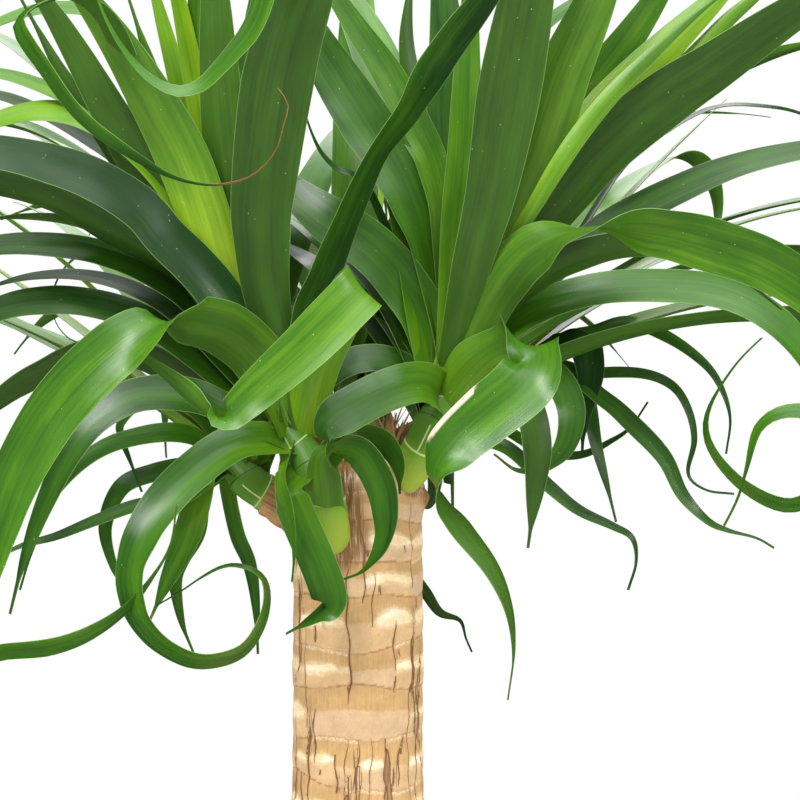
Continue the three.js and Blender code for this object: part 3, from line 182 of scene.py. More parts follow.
# Rule for the leaves that aren't noted one by one, as in the frame. Pairs run from the youngest
# leaf of a head to its oldest, and angles are in degrees.
RULE = {
    "seed": 11, "golden": 137.508, "azimuth_play": 40, "azimuth_play_per_try": 6,
    "lowest_seat": 0.5, "lift": (84, 20), "lift_play": 24, "length": (220, 340),
    "size_play": (0.85, 1.15), "droop": (30, 150), "droop_play": 50, "curled": 0.45, "curl": 260,
    "curl_from": 0.65, "drift": (30, 110), "twist": (40, 140), "width": (15, 30),
    "least_width": 13, "base": 0.8, "full": (0.5, 0.3), "tries": 120, "clear_other": 7.0,
    "clear_own": 3.0, "crowded": 110, "stem_clear": 5, "spacing": 5, "tone": (0.95, 0.12),
}

# What the grown leaves keep free, as it looks from the eye point, so that the noted ones show
FREE = {
    "middle": 21, "half_width": 206, "low": -180, "high": 240, "ground": -110, "root_run": 50,
    "upper_level": 60, "upper_depth": -34, "lower_depth": -10,
    "edges": (-110, -45, -26, 26, 75), "floors": (30, 0, -25, -120, -25, 48),
    "trunk_level": 30, "trunk_radius": 40, "root_radius": 35,
}

# Leaves noted one by one as they look from the eye point. width is the full width, heading the
# compass direction in which the blade leaves its stem, base how many times the width its root has,
# and full the share of the length that keeps the full width. tone runs from dark green, 0, to
# lime, 1. face turns the blade to the eye, in degrees at each point of its route: 0 shows its upper
# side, 180 its underside. The route runs across, up and in depth from the crown point, in mm at
# the trunk's distance. A few leaves have more: swell is the share of the length over which the
# base shape dies away, dry the share at the tip that has dried brown, fade where along the blade
# its tone starts and ends to fall and the share left then, and worn the side of a pale worn edge,
# -1 or 1, with the shares of the blade where it runs.
LEAF_COLUMNS = ("head", "width", "heading", "base", "full", "tone", "face", "route")
NOTED_LEAVES = [
    ("front_left", 34, -90, 0.4, 0.55, 0.16, [180, 180, 180, 180, 180, 180, 175, 170, 160, 150],
     [[-30, 15, -36], [-40, 62, -46], [-46, 90, -52], [-48, 115, -58], [-48, 135, -62], [-40, 195, -76],
     [-28, 235, -84], [-10, 275, -92], [12, 300, -100], [40, 312, -112]], {"swell": 0.32}),
    ("front_left", 26, -130, 0.55, 0.5, 1, [160, 165, 170, 170, 170, 165, 160, 150, 140],
     [[-36, 22, -32], [-66, 92, -44], [-79, 132, -52], [-90, 160, -58], [-105, 188, -64], [-121, 214, -70],
     [-137, 236, -76], [-154, 256, -84], [-178, 274, -94]], {"swell": 0.25, "fade": (0.3, 0.62, 0.5)}),
    ("front_left", 21, -140, 0.6, 0.5, 0.38, 165,
     [[-38, 20, -28], [-68, 80, -36], [-84, 110, -40], [-103, 142, -46], [-117, 166, -52], [-130, 189, -58],
     [-143, 212, -62], [-156, 233, -66], [-172, 253, -72], [-194, 268, -80]], {"swell": 0.25}),
    ("front_left", 15, -90, 0.9, 0.4, 1, 20,
     [[-34, 25, -28], [-62, 92, -34], [-74, 155, -38], [-82, 195, -40], [-90, 235, -42], [-100, 275, -44],
     [-112, 305, -50]]),
    ("front_left", 16, -120, 0.9, 0.4, 0.9, 10,
     [[-36, 26, -24], [-68, 110, -28], [-86, 180, -26], [-100, 232, -24], [-112, 275, -22]]),
    ("front_left", 22, -90, 0.7, 0.5, 0.45, [170, 170, 170, 170, 165, 160, 155],
     [[-32, 22, -28], [-56, 95, -38], [-66, 160, -48], [-70, 205, -54], [-72, 240, -60], [-76, 285, -68],
     [-84, 318, -78]], {"swell": 0.2}),
    ("front_left", 24, 90, 0.7, 0.5, 0.5, 10,
     [[-30, 22, -24], [-50, 95, -28], [-55, 145, -30], [-53, 185, -30], [-50, 220, -30], [-45, 260, -32],
     [-38, 290, -36]], {"swell": 0.2}),
    ("front_left", 24, -160, 0.8, 0.4, 0.85, [20, 30, 45, 50, 55, 55, 55, 50, 45, 40],
     [[-36, 20, -26], [-60, 85, -34], [-84, 128, -40], [-109, 158, -44], [-134, 174, -46], [-157, 179, -48],
     [-179, 175, -50], [-204, 166, -52], [-230, 150, -54], [-250, 128, -56]]),
    ("front_left", 17, -150, 0.8, 0.4, 0.7, 45,
     [[-36, 20, -24], [-76, 90, -30], [-94, 127, -34], [-109, 155, -38], [-124, 172, -40], [-139, 183, -42],
     [-159, 192, -44], [-179, 198, -46], [-205, 200, -48], [-235, 192, -50]]),
    # This blade's fade to the darkest green beyond the first third of its length is painted shade on its
    # upper side.
    ("front_left", 23, -150, 0.7, 0.5, 0.3, [20, 20, 25, 28, 30, 30, 30, 30, 35, 40, 40, 40, 40],
     [[-38, 15, -32], [-46, 50, -42], [-69, 85, -50], [-82, 101, -54], [-97, 116, -58], [-109, 130, -62],
     [-129, 143, -69], [-149, 151, -74], [-179, 158, -82], [-209, 160, -90], [-240, 154, -98],
     [-268, 140, -104], [-290, 116, -108]], {"fade": (0.1, 0.36, -0.2)}),
    ("front_left", 22, -160, 0.8, 0.4, 0.15, [120, 125, 130, 135, 135, 140, 140, 140, 140, 140],
     [[-42, 14, -24], [-74, 82, -34], [-96, 104, -42], [-124, 120, -48], [-149, 134, -54], [-179, 143, -60],
     [-210, 143, -66], [-240, 134, -72], [-268, 116, -78], [-290, 90, -84]]),
    ("front_left", 20, -165, 0.8, 0.4, 0.2, [50, 50, 50, 50, 45, 45, 40, 40, 40],
     [[-44, 12, -20], [-79, 78, -30], [-104, 98, -36], [-129, 108, -40], [-154, 112, -44], [-179, 112, -46],
     [-209, 106, -48], [-238, 92, -50], [-262, 66, -52]]),
    ("front_left", 21, -165, 0.8, 0.4, 0.15, [45, 45, 45, 45, 40, 40, 40, 40, 40],
     [[-46, 8, -16], [-86, 60, -22], [-112, 76, -26], [-136, 83, -30], [-158, 84, -32], [-179, 80, -34],
     [-205, 66, -34], [-228, 46, -36], [-245, 22, -38]]),
    ("front_left", 23, -170, 0.8, 0.4, 0.1, [125, 130, 130, 130, 135, 135, 140, 140, 140, 140],
     [[-48, 5, -12], [-80, 38, -16], [-104, 54, -20], [-125, 59, -24], [-142, 55, -25], [-155, 49, -26],
     [-167, 43, -26], [-179, 35, -26], [-200, 18, -28], [-220, -2, -28]]),
    ("front_left", 27, -125, 0.75, 0.28, 0.4, [180, 180, 170, 150, 95, 50, 18, 8, 5, 5, 10, 20, 35, 60, 70,
     65, 55, 45, 40, 45, 55, 60, 60],
     [[-35, 18, -36], [-46, 50, -50], [-63, 67, -68], [-79, 72, -81], [-92, 74, -92], [-104, 71, -97],
     [-121, 60, -101], [-139, 44, -105], [-152, 29, -107], [-161, 15, -109], [-170, -2, -110],
     [-177, -20, -110], [-184, -44, -108], [-191, -70, -106], [-194, -86, -104], [-190, -92, -102],
     [-176, -90, -101], [-154, -88, -98], [-134, -81, -96], [-114, -67, -94], [-98, -46, -92],
     [-93, -34, -90], [-91, -18, -88]]),
    ("front_left", 19, -150, 0.9, 0.3, 0.3, [40, 30, 25, 20, 20, 30, 45, 50, 57, 60, 60, 60, 62, 66, 70, 70,
     70, 70, 70, 70],
     [[-36, 12, -36], [-50, 14, -48], [-64, 11, -58], [-79, 1, -68], [-95, -14, -78], [-107, -32, -86],
     [-113, -50, -90], [-112, -65, -93], [-107, -77, -94], [-96, -88, -92], [-79, -95, -90],
     [-60, -91, -86], [-50, -79, -82], [-46, -65, -80], [-48, -54, -79], [-56, -49, -78], [-66, -48, -76],
     [-77, -53, -75], [-89, -61, -72], [-101, -68, -70]]),
    ("front_left", 17, -100, 1.1, 0.7, 0.3, [40, 15, 5, 5, 5, 5, 15, 60, 50],
     [[-28, -2, -46], [-35, -10, -58], [-32, -18, -62], [-27, -30, -65], [-21, -44, -67], [-16, -57, -67],
     [-14, -66, -65], [-18, -72, -61], [-36, -82, -57]]),
    ("front_left", 17, -80, 1.15, 0.55, 0.3, [180, 180, 150, 45, 30, 30, 30, 40, 50, 50],
     [[-14, -34, -50], [-17, -12, -54], [-18, 4, -58], [-9, 11, -62], [2, 8, -66], [11, -6, -66],
     [14, -22, -64], [12, -37, -61], [3, -50, -58], [-8, -55, -55]]),
    ("front_left", 15, -20, 1, 0.5, 0.25, [40, 40, 35, 30, 30, 30],
     [[-22, 4, -42], [-10, 14, -48], [4, 17, -52], [14, 13, -54], [20, 3, -54], [21, -12, -53]]),
    ("front_left", 24, -70, 0.8, 0.55, 0.12, [10, 40, 55, 60, 65, 60, 40, 25, 10, 0],
     [[-28, 20, -30], [-26, 75, -40], [-17, 102, -46], [-5, 130, -52], [8, 158, -60], [24, 180, -68],
     [40, 206, -80], [60, 232, -94], [82, 258, -106], [104, 284, -114]]),
    ("front_left", 23, -60, 0.8, 0.45, 0.55, [170, 170, 160, None, 5, 5, 10, 30, 110, 140, 140, 130, 120],
     [[-31, 18, -38], [-22, 52, -56], [-8, 82, -74], [2, 91, -88], [-8, 80, -98], [-28, 60, -104],
     [-49, 41, -105], [-64, 27, -104], [-72, 27, -98], [-86, 40, -92], [-104, 54, -86], [-122, 66, -82],
     [-131, 71, -84]]),
    ("front_left", 20, -160, 0.9, 0.3, 0.2, [40, 40, 40, 35, 30, 30, 30, 30, 30],
     [[-44, 8, -30], [-66, 28, -42], [-84, 36, -52], [-109, 37, -60], [-129, 27, -66], [-143, 10, -70],
     [-156, -16, -70], [-167, -45, -68], [-174, -72, -64]]),
    ("front_left", 21, -90, 0.9, 0.5, 0.45, [None, None, None, None, None, None, 60, 50, 50, 55, 55, 55, 55,
     55, 50, 40],
     [[-34, 20, -22], [-66, 110, -26], [-78, 190, -34], [-78, 250, -48], [-68, 282, -72], [-55, 285, -94],
     [-46, 266, -108], [-46, 238, -113], [-54, 218, -114], [-66, 204, -114], [-78, 192, -114],
     [-91, 189, -114], [-106, 197, -114], [-120, 214, -114], [-130, 235, -114], [-137, 262, -112]]),
    ("front_left", 17, -120, 0.9, 0.2, 0.3, None,
     [[-36, 22, -22], [-80, 110, -30], [-108, 180, -50], [-124, 222, -80], [-142, 236, -100],
     [-160, 232, -112], [-169, 225, -116], [-165, 214, -118], [-158, 204, -118], [-137, 176, -118],
     [-103, 152, -118], [-84, 144, -118], [-67, 143, -118], [-52, 148, -118], [-41, 160, -118],
     [-37, 174, -118], [-35, 184, -117], [-40, 191, -116]], {"dry": 0.15}),
    ("front_left", 16, -150, 0.9, 0.4, 0.6, 50,
     [[-36, 22, -20], [-70, 110, -24], [-96, 175, -30], [-122, 222, -36], [-150, 231, -40],
     [-179, 224, -44], [-205, 208, -46], [-226, 184, -48]]),
    ("front_right", 20, -140, 0.9, 0.75, 0.3, [60, 30, 15, 10, 10, 10, 15, None, None, 150],
     [[41, 34, -30], [36, 42, -42], [26, 43, -52], [13, 39, -61], [1, 33, -69], [-9, 27, -76],
     [-15, 21, -80], [-17, 17, -80], [-13, 14, -78], [-7, 17, -75]]),
    ("front_right", 28, -70, 0.7, 0.36, 0.4, [170, 170, 150, None, 20, 5, 5, 15, 75, 110, 128, 126, 118,
     114, 112],
     [[44, 33, -34], [54, 48, -46], [68, 60, -58], [81, 63, -70], [90, 56, -84], [82, 42, -94],
     [64, 27, -99], [48, 12, -101], [39, -3, -100], [43, -17, -96], [54, -31, -93], [68, -50, -90],
     [76, -70, -88], [78, -91, -86], [75, -115, -84]], {"worn": (-1, 0.42, 0.55)}),
    ("front_right", 14, -40, 1, 0.6, 0.2, [None, None, None, 170, 165, 160, 160],
     [[48, 30, -20], [66, 46, -36], [80, 42, -50], [87, 28, -58], [90, 10, -60], [89, -8, -58],
     [85, -39, -54]]),
    ("front_right", 16, -20, 1, 0.5, 0.35, [-40, -50, -30, -20, -20, -40, -50, -50],
     [[50, 28, -8], [75, 48, -8], [96, 48, -12], [106, 32, -18], [104, 14, -20], [94, 3, -20], [80, 0, -22],
     [68, 8, -24]]),
    ("front_right", 20, -15, 0.9, 0.35, 0.35, [-30, -35, -40, -40, -40, -40, -40, -45, -50, -50, -50, -50,
     -50, -50, -50, -55, -60, -60, -60],
     [[46, 33, -24], [66, 62, -28], [92, 80, -32], [120, 89, -36], [150, 91, -38], [181, 88, -40],
     [206, 76, -43], [226, 54, -48], [238, 28, -52], [238, 4, -56], [228, -12, -60], [216, -17, -62],
     [204, -14, -64], [190, -5, -64], [178, 9, -64], [174, 22, -62], [178, 36, -60], [190, 54, -58],
     [202, 66, -56]]),
    ("front_right", 27, -35, 0.8, 0.4, 0.45, [180, 175, 150, 95, 40, 20, 10, 10, 20, 30, 40, 50, 50, 50, 50,
     50, 50],
     [[46, 38, -28], [62, 82, -44], [84, 110, -60], [114, 121, -74], [148, 120, -86], [180, 112, -94],
     [208, 101, -98], [234, 83, -101], [250, 60, -102], [250, 40, -102], [237, 29, -101], [221, 29, -100],
     [210, 28, -98], [200, 20, -96], [195, 3, -94], [190, -14, -92], [183, -28, -90]]),
    ("front_right", 20, -30, 0.9, 0.4, 0.2, [-130, -130, -135, -140, -140, -140, -140, -140],
     [[46, 36, -20], [68, 73, -32], [90, 96, -42], [115, 108, -50], [138, 112, -56], [165, 108, -62],
     [190, 97, -66], [212, 80, -70]]),
    ("front_right", 20, 10, 0.9, 0.4, 0.2, -40,
     [[45, 40, -10], [82, 84, -4], [121, 118, 2], [141, 130, 3], [161, 140, 4], [184, 150, 6],
     [209, 157, 8], [236, 161, 10], [266, 159, 11], [292, 150, 12], [312, 134, 14]]),
    ("front_right", 28, -30, 0.6, 0.5, 0.15, [-160, -165, -165, -165, -165, -165, -160, -160, -155, -150,
     -145],
     [[44, 40, -28], [81, 110, -40], [96, 129, -42], [106, 141, -44], [124, 161, -48], [155, 186, -54],
     [178, 201, -58], [213, 225, -66], [246, 245, -72], [280, 260, -78], [312, 268, -84]], {"swell": 0.25}),
    ("front_right", 26, -60, 0.45, 0.45, 1, [180, 178, 175, 175, 172, 170, 170, 168, 165, 160, 155],
     [[43, 45, -24], [77, 113, -26], [91, 134, -27], [101, 151, -28], [114, 168, -28], [126, 183, -28],
     [141, 199, -28], [158, 216, -27], [177, 234, -26], [196, 252, -24], [216, 270, -22]], {"swell": 0.35}),
    ("front_right", 35, -90, 0.4, 0.5, 0.2, [180, 180, 180, 180, 175, 170, 160, 150],
     [[44, 43, -34], [55, 95, -50], [66, 137, -60], [75, 186, -71], [84, 235, -81], [93, 280, -90],
     [104, 312, -100], [120, 332, -112]], {"swell": 0.45}),
    ("front_right", 30, -70, 0.5, 0.5, 0.6, [180, 180, 178, 175, 175, 170, 165, 160],
     [[45, 43, -28], [71, 110, -40], [80, 137, -45], [90, 160, -50], [102, 197, -56], [119, 236, -63],
     [134, 275, -70], [150, 310, -78]], {"swell": 0.4}),
    ("front_right", 24, 70, 0.5, 0.5, 0.55, 10,
     [[45, 45, -18], [76, 120, -18], [94, 150, -20], [106, 175, -20], [121, 197, -20], [136, 217, -20],
     [149, 236, -20], [163, 258, -22], [180, 282, -24]], {"swell": 0.4}),
    ("front_right", 19, 90, 0.7, 0.4, 0.5, 10,
     [[43, 46, -16], [49, 115, -16], [53, 155, -16], [54, 185, -16], [55, 215, -14], [57, 250, -12],
     [62, 285, -10]], {"swell": 0.3}),
    ("front_right", 28, 150, 0.6, 0.5, 0.3, [60, 45, 35, 25, 15, 8, 0, 0, 0, 0],
     [[42, 42, -14], [34, 104, -12], [26, 132, -9], [15, 155, -6], [2, 176, -3], [-10, 195, 0],
     [-22, 215, 2], [-32, 235, 4], [-45, 256, 7], [-64, 274, 10]], {"swell": 0.25}),
    ("front_right", 18, 150, 0.8, 0.5, 0.5, [60, 50, 40, 25, 10, 0, 0, 0, 0, 0],
     [[43, 42, -10], [43, 85, -8], [42, 125, -5], [37, 152, -2], [28, 172, 0], [15, 198, 3], [0, 220, 6],
     [-12, 238, 8], [-26, 258, 10], [-46, 274, 12]]),
    ("front_right", 25, -160, 0.8, 0.55, 0.3, [30, 20, 10, 10, 10, 20, 30, 40],
     [[41, 38, -18], [34, 72, -20], [20, 96, -20], [5, 112, -18], [-13, 124, -15], [-30, 137, -9],
     [-45, 150, -3], [-62, 162, 6]]),
    ("front_right", 25, 90, 0.6, 0.5, 0.2, 10,
     [[44, 42, -8], [46, 110, -2], [47, 145, 2], [46, 175, 5], [45, 205, 8], [43, 235, 12], [40, 265, 16],
     [36, 290, 20]], {"swell": 0.3}),
    ("front_right", 17, -150, 1, 0.6, 0.05, 40,
     [[40, 34, -16], [20, 52, -26], [2, 55, -34], [-12, 46, -40], [-20, 32, -42]]),
    ("front_right", 18, -160, 1, 0.5, 0.05, 40,
     [[40, 38, -10], [26, 70, -8], [11, 82, -6], [-9, 86, -4], [-30, 80, 0]]),
    ("front_right", 8, -10, 1.2, 0.4, 0.2, -30,
     [[52, 14, -8], [72, 12, -8], [95, -8, -10], [110, -20, -10], [127, -28, -10], [137, -34, -10],
     [139, -46, -10], [135, -60, -10]]),
    ("back_left", 13, -170, 1.2, 0.3, 0.2, 45,
     [[-62, 8, -2], [-87, 17, -10], [-115, 15, -18], [-136, 5, -24], [-154, -15, -28], [-163, -40, -28],
     [-169, -60, -26]]),
    ("back_left", 12, -170, 1.2, 0.4, 0.2, 40,
     [[-64, 4, 8], [-84, 1, 6], [-102, -2, 0], [-118, -9, -4], [-126, -28, -6], [-122, -48, -6],
     [-116, -58, -6], [-108, -68, -6]]),
    ("back_left", 15, -120, 1.2, 0.5, 0.5, 20,
     [[-64, 6, 8], [-76, 4, 2], [-80, -15, -2], [-86, -35, -4], [-96, -57, -4], [-104, -75, -2]],
     {"dry": 0.05}),
    ("back_left", 11, -150, 1.2, 0.4, 0.2, 30,
     [[-62, 4, 14], [-76, -8, 18], [-80, -30, 20], [-88, -45, 20], [-91, -56, 20], [-88, -76, 20],
     [-82, -92, 20]]),
    ("back_left", 9, -90, 1.2, 0.4, 0.2, 30,
     [[-58, 2, 12], [-64, -10, 16], [-60, -32, 18], [-54, -47, 18], [-51, -67, 18], [-50, -92, 18]]),
    ("back_right", 18, -10, 1, 0.5, 0.05, [-60, -50, -30, -10, 0, 0],
     [[62, 30, 34], [95, 58, 34], [110, 66, 30], [116, 50, 26], [113, 28, 24], [112, 6, 24]]),
    ("back_right", 13, 10, 1.1, 0.3, 0.2, -45,
     [[64, 32, 38], [100, 62, 46], [119, 68, 50], [136, 73, 52], [155, 66, 54], [172, 54, 56],
     [181, 42, 56], [186, 26, 56], [184, 8, 56]]),
    ("back_right", 7.5, 0, 1.1, 0.4, 0.2, -40,
     [[66, 28, 34], [101, 44, 38], [119, 48, 38], [142, 48, 38], [157, 42, 38], [165, 30, 38],
     [168, 15, 38], [165, -2, 38], [174, -10, 38], [188, -12, 38]]),
    ("back_right", 10, -20, 1.1, 0.5, 0.2, -30,
     [[64, 26, 32], [98, 50, 32], [112, 42, 32], [119, 12, 30], [125, -10, 30], [129, -26, 30]]),
    ("back_right", 10, -10, 1.1, 0.5, 0.25, [-40, -40, -30, -20, -20, -20, -40, -40, -40, -40],
     [[66, 26, 28], [104, 44, 26], [123, 35, 24], [138, 22, 22], [153, 6, 22], [162, -12, 22],
     [174, -25, 22], [184, -30, 22], [199, -34, 22], [208, -39, 22]]),
    ("back_right", 9, 0, 1.1, 0.3, 0.2, -50,
     [[64, 22, 34], [90, 10, 40], [102, 7, 42], [114, 8, 42], [126, 14, 42], [136, 21, 42], [145, 34, 42]]),
    ("back_right", 12, 10, 1, 0.3, 0.1, -75,
     [[64, 36, 40], [104, 106, 56], [132, 150, 62], [156, 170, 64], [178, 181, 66], [200, 182, 68],
     [224, 177, 70], [250, 160, 72], [268, 136, 72]]),
    ("back", 13, 60, 1.1, 0.4, 0.1, [None, None, 30, 30, 30, 40, 40, 50, 50, 50],
     [[22, 16, 34], [24, 4, 46], [22, -20, 46], [23, -42, 44], [28, -54, 42], [34, -61, 42], [41, -71, 42],
     [51, -75, 42], [54, -84, 42], [57, -91, 42]]),
]

# Thin leaves that only this dressing has, noted the same way
FINE_LEAVES = [
    ("front_left", 15, -150, 0.9, 0.4, 0.15, 50,
     [[-36, 18, -20], [-80, 95, -26], [-100, 130, -28], [-118, 153, -30], [-136, 166, -32],
     [-157, 178, -34], [-179, 187, -36], [-210, 190, -38], [-240, 180, -40]]),
    ("front_right", 15, -40, 0.9, 0.4, 0.9, 180,
     [[44, 44, -14], [90, 130, -18], [135, 172, -22], [171, 210, -24], [185, 225, -24], [200, 238, -24],
     [221, 257, -24], [240, 270, -24]]),
    ("front_right", 9, 150, 1, 0.4, 0.15, 55,
     [[40, 38, -14], [30, 80, -8], [16, 115, -5], [6, 138, -6], [-2, 147, -10], [-11, 151, -14],
     [-18, 158, -18], [-23, 168, -20], [-27, 180, -20], [-28, 187, -18]]),
    ("front_left", 8, -100, 1.1, 0.4, 0.45, 60,
     [[-46, 4, -40], [-38, -6, -60], [-34, -18, -74], [-32, -32, -76], [-32, -45, -74], [-33, -56, -70]]),
    ("back_left", 9, -170, 1.1, 0.4, 0.2, 45,
     [[-62, 6, 2], [-76, -8, -2], [-90, -16, -6], [-110, -18, -10], [-130, -25, -14], [-150, -33, -18],
     [-165, -37, -20], [-175, -41, -22], [-192, -50, -22]]),
    ("back_left", 8, -170, 1.1, 0.4, 0.2, 40,
     [[-60, 14, 0], [-84, 30, -4], [-106, 34, -6], [-118, 24, -8], [-118, 16, -8], [-114, 5, -8],
     [-108, -11, -8]]),
    ("front_left", 14, -160, 0.8, 0.4, 0.12, 130,
     [[-44, 14, -20], [-90, 95, -28], [-113, 113, -32], [-134, 122, -34], [-154, 126, -36],
     [-179, 126, -38], [-200, 121, -40]]),
    ("front_left", 13, -165, 0.8, 0.4, 0.1, 50,
     [[-45, 10, -18], [-86, 72, -24], [-112, 90, -26], [-137, 97, -28], [-160, 97, -29], [-179, 93, -30],
     [-200, 85, -30]]),
    ("front_right", 15, -90, 0.8, 0.5, 0.2, 160,
     [[42, 44, -6], [38, 110, 0], [31, 160, 4], [27, 190, 6], [24, 215, 8], [26, 240, 8], [30, 262, 8]]),
    ("front_left", 16, -130, 0.8, 0.5, 0.5, 160,
     [[-34, 22, -24], [-70, 110, -34], [-88, 155, -40], [-100, 190, -44], [-108, 215, -48],
     [-116, 240, -50]]),
    ("front_right", 12, -60, 0.25, 0.5, 0.72, 175,
     [[44, 43, -18], [63, 85, -26], [75, 110, -40], [88, 132, -52], [100, 152, -58], [113, 171, -60],
     [128, 189, -62], [146, 207, -62], [166, 225, -60], [190, 244, -58]],
     {"swell": 0.5, "fade": (0.5, 0.9, 0.6)}),
    ("front_left", 14, -140, 0.8, 0.5, 0.3, 160,
     [[-36, 22, -26], [-90, 110, -34], [-122, 160, -40], [-146, 195, -44], [-160, 220, -46],
     [-172, 242, -48]]),
]


def mix(a, b, t):
    return a + (b - a) * t


def unit(rows):
    return rows / np.linalg.norm(rows, axis=-1, keepdims=True)


def smoothstep(low, high, value):
    t = np.clip((value - low) / (high - low), 0, 1)
    return t * t * (3 - 2 * t)


def level_way(angle):
    return np.array([math.cos(angle), math.sin(angle), 0])


def across_way(angle):
    return np.array([-math.sin(angle), math.cos(angle), 0])


def round_angles(count):
    """Angles at even steps all the way round, as one row."""
    return np.linspace(0, FULL_TURN, count, endpoint=False)[None, :]


def mulberry(seed):
    """A small seeded source of draws from 0 to 1, the same one that set out the frame's leaves."""
    state = [seed]

    def draw():
        state[0] = (state[0] + 0x6D2B79F5) & 0xFFFFFFFF
        t = state[0]
        t = ((t ^ (t >> 15)) * (t | 1)) & 0xFFFFFFFF
        t ^= (t + (((t ^ (t >> 7)) * (t | 61)) & 0xFFFFFFFF)) & 0xFFFFFFFF
        return ((t ^ (t >> 14)) & 0xFFFFFFFF) / 4294967296

    return draw


# Lines of leaves
def placed(point):
    """A point noted from the eye point, as a place from the crown point."""
    across, up, depth = point
    near = 1 + depth / EYE["distance"]
    return np.array([
        EYE["across"] + (across - EYE["across"]) * near,
        depth,
        EYE["up"] + (up - EYE["up"]) * near,
    ])


def finer_rows(rows, times):
    """Rows on the smooth line through evenly spaced rows, times as many."""
    ends = np.concatenate([[2 * rows[0] - rows[1]], rows, [2 * rows[-1] - rows[-2]]])
    p0, p1, p2, p3 = ends[:-3], ends[1:-2], ends[2:-1], ends[3:]
    bend = 2 * p0 - 5 * p1 + 4 * p2 - p3
    sway = 3 * p1 - p0 - 3 * p2 + p3
    shares = [k / times for k in range(times)]
    stages = [0.5 * (2 * p1 + (p2 - p0) * t + bend * t * t + sway * t ** 3) for t in shares]
    fine = np.stack(stages, axis=1).reshape(-1, *rows.shape[1:])
    return np.concatenate([fine, rows[-1:]])


def even_line(points, steps):
    """A smooth line through the points, read at even steps, with the point number at each."""
    per_span = 16
    fine = finer_rows(np.array(points), per_span)
    numbers = np.arange(len(fine)) / per_span
    run = np.concatenate([[0], np.cumsum(np.linalg.norm(np.diff(fine, axis=0), axis=1))])
    want = run[-1] * np.arange(steps + 1) / steps
    line = np.stack([np.interp(want, run, fine[:, c]) for c in range(3)], axis=1)
    return line, np.interp(want, run, numbers), run[-1]


def differences(rows):
    """The way from the row before to the row after, at each row."""
    padded = np.concatenate([rows[:1], rows, rows[-1:]])
    return padded[2:] - padded[:-2]


def tangents_of(line):
    return unit(differences(line))


def carried_widths(line, tangents, start):
    """Width directions carried along a line without twisting."""
    width = unit(start - tangents[0] * (start @ tangents[0]))
    widths = [width]
    for i in range(len(line) - 1):
        step = line[i + 1] - line[i]
        size = step @ step
        carried = width - step * (2 / size * (step @ width))
        mirrored = tangents[i] - step * (2 / size * (step @ tangents[i]))
        bend = tangents[i + 1] - mirrored
        bend_size = bend @ bend
        if bend_size > 1e-12:
            carried = carried - bend * (2 / bend_size * (bend @ carried))
        width = unit(carried - tangents[i + 1] * (carried @ tangents[i + 1]))
        widths.append(width)
    return np.array(widths)


def rolled(tangents, widths, rolls):
    angles = np.radians(rolls)[:, None]
    return widths * np.cos(angles) + np.cross(tangents, widths) * np.sin(angles)


def read_list(values, at):
    """A list of numbers read between its entries, with soft steps."""
    values = np.array(values, float)
    i = np.minimum(np.floor(at).astype(int), len(values) - 2)
    t = at - i
    return mix(values[i], values[i + 1], t * t * (3 - 2 * t))


def half_widths(leaf):
    """Half the blade's width at each step, held back where the line bends in its own plane."""
    steps = BLADE["steps"]
    s = np.arange(steps + 1) / steps
    bulge = 1 + (leaf["base"] - 1) * np.exp(-(s / leaf.get("swell", BLADE["swell"])) ** 2)
    taper = 1 - np.maximum(0, (s - leaf["full"]) / (1 - leaf["full"])) ** BLADE["taper_power"]
    halves = np.maximum(leaf["width"] / 2 * bulge * taper, BLADE["tip"])
    turn = np.abs(np.sum(differences(leaf["tangents"]) * leaf["sides"], axis=1))
    bend = turn / (2 * leaf["length"] / steps)
    room = np.minimum(halves, BLADE["bend_room"] / np.maximum(bend, 1e-6))
    least = halves.copy()
    for shift in (-2, -1, 0, 1, 2):
        reach = np.arange(max(0, shift), min(steps, steps + shift) + 1)
        spread = room[reach] * (1 + BLADE["bend_spread"] * abs(shift))
        least[reach - shift] = np.minimum(least[reach - shift], spread)
    return np.maximum(least, BLADE["tip"])


def along(shoot, t):
    """The stem's middle, direction and radius at a share of its path."""
    at = t * (len(shoot["path"]) - 1)
    i = min(math.floor(at), len(shoot["path"]) - 2)
    a, b = np.array(shoot["path"][i:i + 2], float)
    return mix(a, b, at - i), unit(b - a), mix(*shoot["radii"][i:i + 2], at - i)


def root_in(centre, radius, out):
    """A blade's root inside a stem, out from the middle line in the given direction."""
    return centre + out * max(radius - BLADE["root_depth"], BLADE["least_root"])


def root_at(shoot, near, towards):
    """A root on the free part of the stem, level with one point and on the side of another."""
    stops = 40
    seats = [along(shoot, mix(BLADE["lowest_root"], 1, k / stops)) for k in range(stops + 1)]
    centre, axis, radius = min(seats, key=lambda seat: np.sum((seat[0] - near) ** 2))
    out = towards - centre
    return root_in(centre, radius, unit(out - axis * (out @ axis)))


def noted_rolls(faces, line, at, tangents, widths):
    """The rolls that turn a noted blade's face to the eye as noted, with even steps between."""
    eye = np.array([EYE["across"], -EYE["distance"], EYE["up"]])
    known = []
    for k, face in enumerate(faces):
        if face is None:
            continue
        i = int(np.argmin(np.abs(at - k)))
        flat = unit(np.cross(tangents[i], unit(line[i] - eye)))
        deep = np.cross(tangents[i], flat)
        want = flat * math.cos(math.radians(face)) + deep * math.sin(math.radians(face))
        normal = np.cross(tangents[i], widths[i])
        roll = math.degrees(math.atan2(want @ normal, want @ widths[i]))
        if known:
            roll -= 360 * round((roll - known[-1][1]) / 360)
        known.append((k, roll))
    numbers, rolls = zip(*known)
    return np.interp(np.arange(len(faces)), numbers, rolls)


